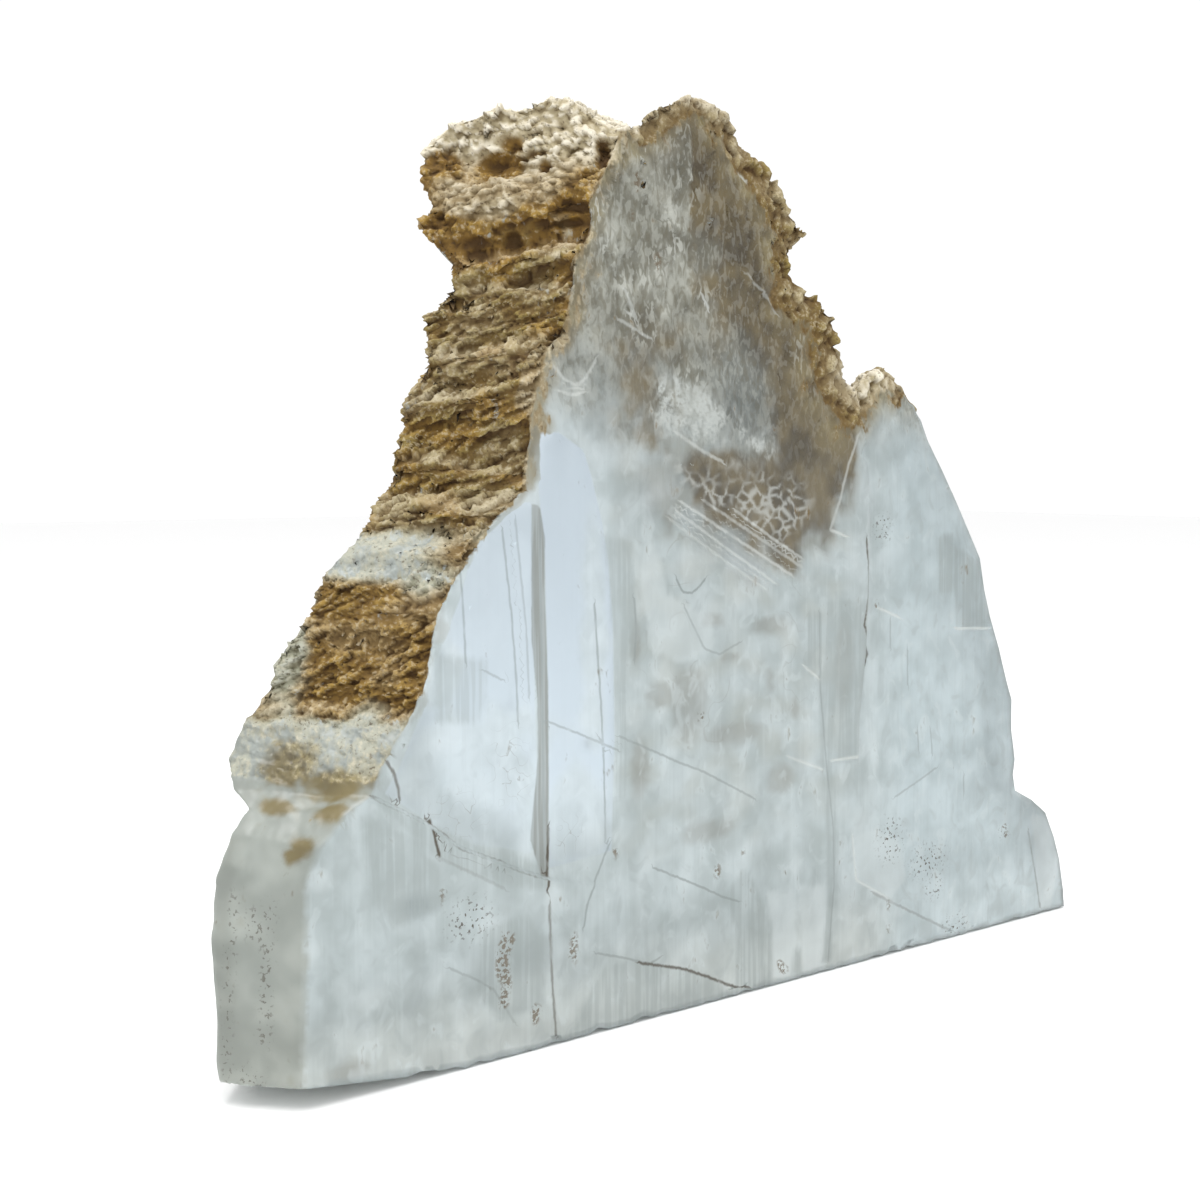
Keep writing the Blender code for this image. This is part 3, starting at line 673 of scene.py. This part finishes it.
def ledge_relief(spots):
    """Weathered flank: shingles that climb toward the face and jut at their lower lips."""
    drift = 2.0 * noise_at(spots, (14, 14, 9), 3.0) + 0.9 * noise_at(spots, (5, 5, 4), 5.0)
    strength = smooth(noise_at(spots, (13, 13, 9), 21.0), -0.35, 0.35)
    phase = ((spots[:, 2] + drift) / 6.5) % 1.0
    tooth = (1.0 - phase) * smooth(phase, 0.0, 0.2) * strength
    bent = spots + drift[:, None] * 0.6
    lift = 0.7 * (tooth - 0.3) + 1.2 * (flakes_at(bent, (6.5, 6.5, 3.0), 0.7, 2.0) - 0.5)
    lift += 1.0 * (flakes_at(bent, (3.6, 3.6, 2.0), 0.7, 6.0) - 0.5)
    return lift + 0.8 * (1.0 - strength) * (domes_at(spots, (4.0, 4.0, 3.0), 4.0) - 0.6)


def scale_relief(spots):
    """Ochre field: small ragged flakes."""
    bent = spots + 0.9 * noise_at(spots, (4, 4, 4), 31.0)[:, None]
    lift = 1.1 * (flakes_at(bent, (5.0, 5.0, 2.7), 0.7, 4.0) - 0.5)
    return lift + 0.7 * (flakes_at(bent, (2, 2, 1.3), 0.5) - 0.5)


def lump_relief(points):
    """Sugary lump: clustered grains and flakes of four sizes, from 11 mm down to 2 mm."""
    bent = points + 1.6 * noise_at(points, (6, 6, 6), 41.0)[:, None]
    lift = 2.0 * (domes_at(bent, (11, 11, 7), 1.0) - 0.65)
    lift += 0.9 * (domes_at(bent, (5.2, 5.2, 4.0), 7.0) - 0.65)
    lift += 0.9 * (flakes_at(bent, (2.8, 2.8, 2.4), 0.9, 15.0) - 0.5)
    return lift + 1.2 * (domes_at(bent, (2.2, 2.2, 2.0), 11.0) - 0.6)


def side_relief(points):
    """Cleaved side: shallow upright waves and small chips."""
    return 0.5 * noise_at(points, (7, 7, 11), 33.0) + 0.3 * noise_at(points, (2.4, 2.4, 6), 35.0)


def rim_relief(points):
    """Etched rim: knobs and short teeth."""
    bent = points + 1.2 * noise_at(points, (4, 4, 4), 53.0)[:, None]
    lift = 0.9 * (domes_at(bent, (7, 7, 7), 17.0) - 0.6)
    lift += 1.4 * (flakes_at(bent, (3.4, 3.4, 4.2), 0.8, 19.0) - 0.5)
    return lift + 1.0 * (domes_at(bent, (2.0, 2.0, 2.3), 23.0) - 0.6)


def etched_relief(points):
    """Etched cleavage: upright flutes and splinters."""
    flutes = 0.45 * noise_at(points, (3.4, 6, 16), 2.0) + 0.35 * noise_at(points, (2.2, 4, 7), 5.0)
    return flutes + 0.7 * (flakes_at(points, (3.0, 5, 7), 0.6, 8.0) - 0.5)


def hollow_relief(points):
    """Depth of the separate hollows at each point."""
    bent = points + 1.5 * noise_at(points, (5, 5, 4), 51.0)[:, None]
    bent += 0.8 * noise_at(points, (2, 2, 2), 57.0)[:, None]
    depth = np.zeros(len(points))
    for centre, radii, deep in HOLLOWS:
        reach = np.linalg.norm((bent - np.array(centre)) / np.array(radii), axis=1)
        depth = np.maximum(depth, deep * (1.0 - smooth(reach, 0.2, 1.25)))
    return depth


def fine_grain(spots):
    """Finest grain of the crust that the mesh can hold."""
    return noise_at(spots, (1.5, 1.5, 1.4), 13.0)


def worn_edge(points):
    """How far the front of the sawn lower edge is worn away at each point."""
    wear = 0.6 + 1.6 * np.abs(noise_at(points, (9, 30, 30), 81.0))
    return wear + 0.5 * noise_at(points, (2.5, 9, 9), 83.0)


def relief(points, zones, pits):
    """How far the fine surface stands out from the slab's main shape at each point."""
    x, y, z = points.T
    climbing = np.column_stack((x, y, z + SHINGLE_RISE * zones.left.clip(-10, 45)))
    grain = on_zone(np.clip(zones.flank + zones.rim, 0, 1), points, fine_grain)
    sugary = np.clip(zones.lump + 0.55 * zones.knob + 0.65 * zones.recess, 0, 1)
    lift = 0.8 * on_zone(zones.ledges, climbing, ledge_relief)
    lift += on_zone(np.clip(zones.scales + 0.35 * zones.pale, 0, 1), climbing, scale_relief)
    lift += on_zone(sugary, points, lump_relief)
    lift += on_zone(zones.side + 0.5 * zones.knob, points, side_relief)
    lift += on_zone(zones.rim, points, rim_relief)
    lift += on_zone(zones.face * zones.etched * smooth(zones.etched, 0.2, 0.7), points, etched_relief)
    for lowest, highest, jut in SHELVES:
        lift += 0.7 * jut * zones.flank * band(zones.level, lowest, highest, 0.9)
    return lift - RECESS_DEPTH * zones.recess + GRAIN_HEIGHT * (zones.level > 93) * grain - pits


def washed(shares, tone):
    """Colour and clearness of the crystal at each point, its washes laid one over another."""
    colour = np.zeros((len(tone), 3))
    clear = np.full(len(tone), CLEARNESS)
    for name, darkest, lightest, cloudy in WASHES:
        share = np.clip(shares[name], 0, 1)
        hue = np.outer(1 - tone, linear(darkest)[:3]) + np.outer(tone, linear(lightest)[:3])
        colour += share[:, None] * (hue - colour)
        clear *= 1 - cloudy * share
    return np.column_stack((colour, clear))


def crusted(shares, hollow):
    """Colour of the crust at each point, with painted light on crests and painted shade in hollows, and how
    much of a crest it is.
    """
    # Painted light and shade: crests take the light colour, deeper places the middle and then the dark one.
    middling = smooth(hollow, 0.15, 0.52)[:, None]
    deep = 0.9 * smooth(hollow, 0.52, 1.0)[:, None]
    colour = np.zeros((len(hollow), 3))
    for name, *hues in STONES:
        light, middle, dark = [np.array(linear(hue)[:3]) for hue in hues]
        hue = light + middling * (middle - light)
        hue += deep * (dark - hue)
        colour += np.clip(shares[name], 0, 1)[:, None] * (hue - colour)
    return np.column_stack((colour, 1 - smooth(hollow, 0.35, 0.6)))


def crest_and_hollow_shade(points, zones, lift, pits, edges):
    """How sunken each point of the crust is, from 0 on a crest to 1 deep in a hollow; it sets the painted
    light and shade.
    """
    even = np.ones(len(lift))
    near_average = steady(lift, edges, even, 8)
    broad_average = steady(near_average, edges, even, 40)
    hollow = 0.5 - 0.34 * (lift - near_average) - 0.16 * (near_average - broad_average)
    hollow = 0.5 + (hollow - 0.5) * (1 - 0.75 * zones.pale - 0.75 * zones.knob)
    # The groove under the lump gets deeper painted shade, and the ochre spot its darker colours.
    hollow += 0.15 * zones.recess + 0.12 * places_at(points, OCHRE_SPOTS, zones.wander)
    # Faces turned up count as less sunken, which is painted top light.
    hollow += 0.05 * pits - 0.3 * zones.pale - 0.3 * zones.knob - 0.5 * zones.painted_top_light
    return hollow


class Stains:
    """Soft patterns, margins and stains that several parts of the finish share, at each point."""

    def __init__(self, points, zones):
        x, _, z = points.T
        wander = zones.wander
        tone = noise_at(points, (16, 30, 13), 101.0) + 0.6 * noise_at(points, (6, 20, 7), 103.0)
        self.tone = tone + 0.45 * noise_at(points, (2.8, 9, 3.6), 105.0)
        self.cloud = noise_at(points, (9, 20, 12), 63.0)
        self.patches = noise_at(points, (14, 14, 8), 71.0)
        self.side = zones.side + 0.9 * zones.knob + 0.9 * zones.pale

        from_rim = np.abs(line_gap(x, z, CRUST_RIM))
        width = np.interp(x, RIM_WIDTH_X, RIM_WIDTH)
        reach = np.interp(z, MARGIN_Z, MARGIN_REACH)
        on_face = zones.face * (1 - smooth((2.2 * wander - zones.left) / reach, 0.1, 0.8))
        on_face *= 0.3 + 0.7 * smooth(z, 160, 182)
        on_back = zones.back * smooth(zones.left + 2.2 * wander, 18, 34)
        self.crust_margin = (z > FOOT_TOP) * (on_face + on_back)
        rim_margin = 1 - smooth(from_rim + wander, 0.7 * width, 1.8 * width)
        self.margin = np.maximum(self.crust_margin, zones.sheet * (x > RIM_START) * rim_margin)

        beside_rim = (x > 140) * (1 - smooth(x, 213, 221)) * smooth(z, 150, 172)
        beside_rim = beside_rim * (1 - smooth(from_rim + 3 * wander, 20, 62))
        brown = np.maximum(beside_rim, smooth(inset(x, z, BROWN_PATCHES) + 2 * wander, -9, 9))
        self.brown = zones.sheet * brown * (0.62 + 0.38 * smooth(x, 128, 142))
        stain = places_at(points, TAN_STAINS, wander) + 0.35 * self.tone
        stain += 0.25 * noise_at(points, (2.2, 2.2, 2.2), 79.0)
        self.stain = zones.flank * smooth(stain, 0.15, 0.9)


def wash_shares(points, zones, stains):
    """Share of each wash over the crystal at each point."""
    x, _, z = points.T
    face = zones.face
    wander = zones.wander
    bands = noise_at(points, (6, 30, 160), 95.0) + 0.5 * noise_at(points, (3.5, 30, 60), 97.0)
    tint = face * band(x + 3 * wander, 112, 214, 10)
    tint = tint * smooth(stains.patches + 0.5 * stains.cloud, -0.3, 0.5) * smooth(z + 3 * wander, 44, 80)
    low = 1 - smooth(z + 2 * wander, 6, 34)
    smoke = zones.etched * smooth(z + 0.5 * (x - 150) + 9 * stains.tone, 250, 300)
    brown = stains.brown + 0.3 * stains.tone * (stains.brown > 0.02)
    return {
        "milk": np.ones(len(x)),
        "wisp": 0.45 * smooth(stains.cloud, 0.15, 0.6),
        "dark_band": 0.3 * smooth(bands, 0.05, 0.5),
        "light_band": 0.3 * smooth(-bands, 0.05, 0.5),
        "fog": zones.base + (0.75 * zones.sheet + 0.5 * zones.side) * low,
        "tint": 0.5 * tint,
        "right": 0.75 * face * smooth(x, 222, 250),
        "smudge": 0.55 * face * smooth(blobs(x, z, SMUDGES) + 0.25 * stains.tone, 0.15, 0.85),
        "pool": 0.8 * face * blobs(x, z, POOLS),
        "side": 0.9 * stains.side,
        "etched": zones.etched,
        "smoke": 0.9 * smoke,
        "brown": 0.92 * smooth(brown, 0.05, 0.9),
        "blue": 0.7 * smooth(inset(x, z, BLUE_PATCHES) + wander, -9, 5),
        "margin": 0.85 * stains.margin,
        "stain": 0.95 * stains.stain,
    }


def stone_shares(points, zones, stains, pits):
    """Share of each crust colour at each point."""
    _, y, z = points.T
    wander = zones.wander
    patches = stains.patches
    tip = places_at(points, TIP_SPOTS)
    top = zones.rim * smooth(z, 280, 296)
    milky = places_at(points, WHITE_SPOTS, wander) * zones.flank
    pale_edge = smooth(y + 2 * wander, 27, 31) * band(z, 118, 147, 4)
    pale_edge = np.maximum(pale_edge, band(zones.level + wander, 104, 109, 3))
    creamy = 0.1 + 0.5 * patches - 0.5 * (1 - smooth(z, 251, 262)) + 1.5 * smooth(z, 272, 284)
    creamy += 0.35 * places_at(points, CREAM_SPOTS, wander)
    creamy = np.clip(creamy - 1.2 * places_at(points, AMBER_SPOTS, wander), 0, 1)
    cream = zones.lump * creamy + 0.25 * zones.rim * smooth(patches, -0.3, 0.4) + 1.1 * tip + 0.35 * top
    # Faces turned up get more cream, painted top light; ledges and scales get random cream patches.
    cream += 0.45 * zones.painted_top_light + 0.15 * (zones.ledges + zones.scales) * smooth(patches, -0.1, 0.5)
    ochre = 0.95 * zones.recess + 0.7 * zones.scales + 0.7 * zones.ledges * smooth(-patches, 0.0, 0.35)
    return {
        "tan": np.ones(len(z)),
        "ochre": ochre + 0.75 * zones.lump * (1 - creamy) + 0.4 * pits + 0.2 * tip,
        "cream": cream - 0.5 * pits * zones.lump + 0.4 * stains.crust_margin,
        "whitish": zones.pale + 0.8 * zones.knob + 0.8 * zones.scales * pale_edge + milky,
        "stain": 0.8 * stains.stain,
    }


def pane_depths(points, zones, stains):
    """How deep each point lies inside the panes, in millimetres, and how far no veil hides them."""
    x, y, z = points.T
    behind = y > FRONT_LAYER
    hidden = np.where(behind, FAR_OUTSIDE, 0)
    veil = smooth(blobs(x, z, VEILS) + 0.5 * stains.cloud, 0.1, 0.8)
    veil = np.maximum(veil, 0.3 * (x < 81))
    front_window = inset(x, z, WINDOWS) - 3 * stains.crust_margin
    return {
        "window": np.where(behind, inset(x, z, BACK_PANES) / BACK_SOFTNESS, front_window),
        "stripe": inset(x, z, STRIPES) - hidden,
        "white": inset(x, z, WHITE_PATCHES) - hidden,
        "grey": inset(x, z, GREY_PANES) - hidden,
        "pale": inset(x, z, PALE_PANES) - hidden,
        "unveiled": 1 - 0.75 * veil * zones.face,
    }


def web_line(spots):
    """Strength of the web of white cracks at each point, full in the middle of its lines."""
    return WEB_STRENGTH * (1 - smooth(seams_at(spots, WEB_MESH), *WEB_LINE))


def lines_near(points, zones):
    """Distance to the nearest line of each kind at each point, that line's strength, and the web."""
    x, _, z = points.T
    bent = points + 1.1 * noise_at(points, (4, 4, 4), 111.0)[:, None]
    in_web = zones.face * smooth(inset(x, z, WEB_PANES) + 2 * zones.wander, -5, 5)
    numbers = {"web": on_zone(in_web, bent, web_line)}
    for name, lines in (("crack", CRACKS), ("trace", TRACES), ("vein", VEINS)):
        numbers[name + "_gap"], strength = nearest_line(x, z, lines)
        numbers[name] = zones.face * strength
    return numbers


def small_marks(points, zones, stains):
    """Earthy marks, specks, crackle, curls and flakes at each point."""
    x, y, z = points.T
    face = zones.face
    wander = zones.wander
    marks = np.full(len(x), -20.0)
    for radius, line in MARKS:
        marks = np.maximum(marks, radius + 0.35 * wander - np.abs(line_gap(x, z, line)))
    columns = np.maximum.reduce([band(y, *across) * band(z, *upward) for across, upward in SIDE_SPECKS])
    crackle = face * blobs(x, z, CRACKLES)
    curled = face * band(x + 2 * wander, 122, 190, 8) * band(z + 2 * wander, 84, 166, 8)
    curled *= smooth(noise_at(points, (18, 18, 14), 121.0), 0.0, 0.35)
    curls = noise_at(points, (11, 11, 13), 91.0) + 0.3 * noise_at(points, (4, 4, 4), 93.0)
    flaky = np.maximum(0.4 * zones.etched, blobs(x + wander, z + wander, FLAKY))
    return {
        "mark": np.where(face > 0.5, marks, -20),
        "specks": np.maximum(face * blobs(x, z, SPECKS), 0.7 * zones.side * columns),
        "curl_area": np.clip(0.3 * curled + crackle, 0, 0.9),
        "curls": np.where(crackle > 0.05, 1.5 * noise_at(points, (3.4, 3.4, 3), 91.0), curls),
        "flaky": face * (1 - 0.6 * stains.brown) * flaky,
    }


def finishes(points, zones, lift, pits, edges):
    """The colours and numbers that the finish follows, by name.

    Colours come as four columns, three of colour and one of clearness or height.
    """
    stains = Stains(points, zones)
    hollow = crest_and_hollow_shade(points, zones, lift, pits, edges)
    crust = zones.ledges + zones.scales + zones.lump + zones.recess + zones.rim
    crust += 0.55 * zones.pale + 0.5 * zones.knob + 0.4 * stains.margin
    marked = np.maximum.reduce([zones.etched, stains.side, stains.margin, stains.brown, zones.base])
    return {
        "crystal_colour": washed(wash_shares(points, zones, stains), smooth(stains.tone, -0.7, 0.7)),
        "crust_colour": crusted(stone_shares(points, zones, stains, pits), hollow),
        "crust": np.clip(crust, 0, 1),
        "etched": zones.etched,
        "plain": np.clip(1 - marked, 0, 1),
        **pane_depths(points, zones, stains),
        **lines_near(points, zones),
        **small_marks(points, zones, stains),
    }


def store_finish(mesh, numbers):
    """Store the finish's colours and numbers at the mesh's points, numbers three to an attribute."""
    for name in COLOURS:
        layer = mesh.attributes.new(name, "FLOAT_COLOR", "POINT")
        layer.data.foreach_set("color", numbers[name].astype(np.float32).ravel())
    for trio in TRIOS:
        layer = mesh.attributes.new(trio[0], "FLOAT_VECTOR", "POINT")
        values = np.column_stack([numbers[name] for name in trio])
        layer.data.foreach_set("vector", values.astype(np.float32).ravel())


def finish_mesh(piece, corner):
    """Give the piece its fine relief and store the numbers that its finish follows."""
    mesh = piece.data
    count = len(mesh.vertices)
    spots = np.empty(count * 3)
    mesh.vertices.foreach_get("co", spots)
    normals = np.empty(count * 3)
    mesh.vertices.foreach_get("normal", normals)
    edges = np.empty(len(mesh.edges) * 2, dtype=np.int32)
    mesh.edges.foreach_get("vertices", edges)
    points = spots.reshape(-1, 3) / MM - corner
    normals = normals.reshape(-1, 3)
    edges = edges.reshape(-1, 2)

    zones = Zones(points, normals)
    flat = steady(np.maximum(zones.face, zones.back), edges, np.ones(count), 3)
    points = steady(points, edges, (flat > 0.985) * 1.0, 14)
    points = steady(points, edges, 0.5 * np.clip(zones.flank + zones.rim, 0, 1), 2)
    pits = hollow_relief(points)
    lift = relief(points, zones, pits)
    store_finish(mesh, finishes(points, zones, lift, pits, edges))

    points = points + normals * (lift * smooth(points[:, 2], 0.5, 3.0))[:, None]
    front = (1.0 - smooth(points[:, 1], 1.0, 6.0)) * (points[:, 2] < 2.5)
    points[:, 2] += front * worn_edge(points)
    points[:, 2] = points[:, 2].clip(0.0)
    mesh.vertices.foreach_set("co", ((points + corner) * MM).ravel())
    mesh.shade_smooth()
    mesh.set_sharp_from_angle(angle=SHARP_ANGLE)


def linear(colour):
    """Linear colour from an sRGB hex value such as "c9d6d8"."""
    parts = [int(colour[start:start + 2], 16) / 255 for start in (0, 2, 4)]
    return [part / 12.92 if part <= 0.04045 else ((part + 0.055) / 1.055) ** 2.4 for part in parts] + [1.0]


def add(tree, kind, *inputs, output=None, **settings):
    """Add a node, set it, and fill its inputs in order, or by name from one dictionary.

    An input is a socket to link, a hex colour or a number. The result is the node's output.
    """
    node = tree.nodes.new("ShaderNode" + kind)
    for name, value in settings.items():
        setattr(node, name, value)
    if inputs and isinstance(inputs[0], dict):
        pairs = [(node.inputs[name], value) for name, value in inputs[0].items()]
    else:
        pairs = zip([socket for socket in node.inputs if socket.enabled], inputs)
    for socket, value in pairs:
        if isinstance(value, bpy.types.NodeSocket):
            tree.links.new(value, socket)
        elif value is not None:
            socket.default_value = linear(value) if isinstance(value, str) else value
    if output:
        return node.outputs[output]
    return next((socket for socket in node.outputs if socket.enabled), None)


def patterns(tree):
    """The noise patterns of the finish, by name."""
    place = add(tree, "TexCoord", output="Object")
    grain = {}
    for name, size, octaves, swirl in GRAINS:
        spots = add(tree, "Mapping", place, None, None, [1 / (MM * part) for part in size])
        grain[name] = add(tree, "TexNoise", spots, 1.0, octaves, NOISE_ROUGHNESS, NOISE_LACUNARITY, swirl)
    return grain


def stored_numbers(tree):
    """The numbers stored at the mesh's points, by name."""
    stored = {}
    for trio in TRIOS:
        vector = add(tree, "Attribute", attribute_name=trio[0], output="Vector")
        parts = add(tree, "SeparateXYZ", vector, output="X").node.outputs
        stored.update(zip(trio, parts))
    return stored


def detail_shares(tree, grain, stored):
    """Share of every detail, by name, from the patterns and the stored numbers."""
    share = dict(stored)
    border = add(tree, "Math", grain["fibre"], 0.5, grain["wisps"], operation="MULTIPLY_ADD")
    border = add(tree, "Math", border, 0.75, operation="SUBTRACT")
    for name, source, shift, low, high, start, end in SHARES:
        value = grain[source] if source in grain else stored[source]
        if shift:
            value = add(tree, "Math", border, shift, value, operation="MULTIPLY_ADD")
        share[name] = add(tree, "MapRange", value, low, high, start, end, **SOFT_STEP)
    for name, width in LINE_WIDTHS:
        gap = add(tree, "Math", grain["fibre"], width, stored[name + "_gap"], operation="MULTIPLY_ADD")
        gap = add(tree, "Math", gap, 0.5 * width, operation="SUBTRACT")
        gap = add(tree, "Math", gap, operation="ABSOLUTE")
        inside = add(tree, "MapRange", gap, 0.15 * width, width, 1, 0, **SOFT_STEP)
        share[name] = add(tree, "Math", inside, stored[name], operation="MULTIPLY")
    for name, operation, first, second in JOINED:
        share[name] = add(tree, "Math", share[first], share[second], operation=operation, use_clamp=True)
    return share


def detailed_colour(tree, share, crystal, crust):
    """Colour of the slab: crystal and crust, each with its details laid over it in order."""
    colours = {}
    for name, first, second, by in BLENDS:
        colours[name] = add(tree, "Mix", share[by], first, second, **COLOUR_MIX)
    for by, colour in DETAILS:
        crystal = add(tree, "Mix", share[by], crystal, colours.get(colour, colour), **COLOUR_MIX)
    for by, colour in CRUST_DETAILS:
        crust = add(tree, "Mix", share[by], crust, colour, **COLOUR_MIX)
    return add(tree, "Mix", share["crust"], crystal, crust, **COLOUR_MIX)


def clearness(tree, share, washed_clear):
    """How see-through the slab is: clearest in its windows, clouded by what lies on it."""
    clear = add(tree, "Math", share["window"], WINDOW_CLEARNESS, washed_clear, operation="MULTIPLY_ADD")
    for by, cloudy in CLOUDED_BY.items():
        left = add(tree, "Math", share[by], -cloudy, 1.0, operation="MULTIPLY_ADD")
        clear = add(tree, "Math", clear, left, operation="MULTIPLY")
    return clear


def selenite():
    """Selenite, the clear crystal form of gypsum, split along its cleavage and weathered on its rim.

    Cleaving leaves flat panes that are see-through and softly glossy, clouded by inner splits.
    Weathering leaves an opaque, matt and granular crust, stained by earth.
    """
    material = bpy.data.materials.new("selenite")
    material.use_nodes = True
    tree = material.node_tree
    tree.nodes.clear()
    crystal = add(tree, "Attribute", attribute_name="crystal_colour", output="Color")
    crust = add(tree, "Attribute", attribute_name="crust_colour", output="Color")
    grain = patterns(tree)
    stored = stored_numbers(tree)
    stored["crest"] = crust.node.outputs["Alpha"]
    share = detail_shares(tree, grain, stored)

    colour = detailed_colour(tree, share, crystal, crust)
    clear = clearness(tree, share, crystal.node.outputs["Alpha"])
    rough = add(tree, "Mix", share["window"], CLEAVAGE_ROUGHNESS, WINDOW_ROUGHNESS)
    rough = add(tree, "Mix", share["crust"], rough, CRUST_ROUGHNESS)
    weathered = add(tree, "Math", share["etched"], share["crust"], operation="MAXIMUM")
    weathered = add(tree, "Math", weathered, CRUST_BUMP_STRENGTH, operation="MULTIPLY")
    bump = add(tree, "Bump", {"Height": grain["fine"], "Strength": weathered, "Distance": CRUST_BUMP * MM})
    shader = add(tree, "BsdfPrincipled", {
        "Base Color": colour, "Roughness": rough, "IOR": GYPSUM_IOR, "Transmission Weight": clear,
        "Normal": bump})
    haze = add(tree, "VolumeAbsorption", {"Color": GYPSUM_TINT, "Density": GYPSUM_ABSORPTION})
    add(tree, "OutputMaterial", {"Surface": shader, "Volume": haze})
    return material


def white_paper():
    """Uncoated studio paper, rolled smooth: matt and white, so it shows only the slab's soft shadow."""
    material = bpy.data.materials.new("white_paper")
    material.use_nodes = True
    shader = material.node_tree.nodes["Principled BSDF"]
    shader.inputs["Base Color"].default_value = linear("f7f7f7")
    shader.inputs["Roughness"].default_value = PAPER_ROUGHNESS
    return material


def even_sky():
    """White sky of even brightness."""
    world = bpy.data.worlds.new("white_sky")
    world.use_nodes = True
    background = world.node_tree.nodes["Background"]
    background.inputs["Color"].default_value = (1, 1, 1, 1)
    background.inputs["Strength"].default_value = SKY_STRENGTH
    bpy.context.scene.world = world


def paper_floor():
    """Flat sheet of white paper that the slab stands on."""
    mesh = bpy.data.meshes.new("floor")
    corners = [(-1, -1), (1, -1), (1, 1), (-1, 1)]
    mesh.from_pydata([(x * FLOOR_HALF, y * FLOOR_HALF, 0) for x, y in corners], [], [(0, 1, 2, 3)])
    floor = bpy.data.objects.new("floor", mesh)
    bpy.context.scene.collection.objects.link(floor)
    floor.data.materials.append(white_paper())


def key_light():
    """Broad soft lamp at the upper left, aimed at the slab."""
    lamp = bpy.data.lights.new("key", "AREA")
    lamp.shape = "SQUARE"
    lamp.size = KEY_WIDTH
    lamp.energy = KEY_WATTS
    key = bpy.data.objects.new("key", lamp)
    key.location = KEY_SPOT
    aim = Vector(KEY_AIM) - key.location
    key.rotation_euler = aim.to_track_quat("-Z", "Y").to_euler()
    bpy.context.scene.collection.objects.link(key)


def place_camera(corner):
    """Camera level from side to side, turned toward the slab and dipped a little."""
    lens = bpy.data.cameras.new("camera")
    lens.lens = LENS
    lens.sensor_width = SENSOR
    camera = bpy.data.objects.new("camera", lens)
    camera.location = [(spot + shift) * MM for spot, shift in zip(CAMERA_SPOT, corner)]
    camera.rotation_euler = (math.pi / 2 - CAMERA_DIP, 0.0, -CAMERA_TURN)
    bpy.context.scene.collection.objects.link(camera)
    bpy.context.scene.camera = camera


def studio(corner):
    """White floor and sky, one broad soft light, and the camera."""
    even_sky()
    paper_floor()
    key_light()
    place_camera(corner)
    bpy.context.scene.view_settings.view_transform = "Standard"


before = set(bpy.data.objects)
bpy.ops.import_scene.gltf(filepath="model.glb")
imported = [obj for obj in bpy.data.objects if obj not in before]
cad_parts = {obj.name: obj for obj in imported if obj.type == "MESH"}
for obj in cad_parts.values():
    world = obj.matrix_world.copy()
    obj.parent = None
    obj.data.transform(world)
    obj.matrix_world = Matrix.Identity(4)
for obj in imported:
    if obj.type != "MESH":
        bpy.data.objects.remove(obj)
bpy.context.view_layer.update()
low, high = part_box(NODE)
corner = np.array([low[0] / MM + FLANK_REACH, low[1] / MM + FACE_PROUD, 0.0])
slab = fine_copy(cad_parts[NODE], corner)
finish_mesh(slab, corner)
slab.data.materials.append(selenite())
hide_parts(NODE)
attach(slab, "root")
studio(corner)
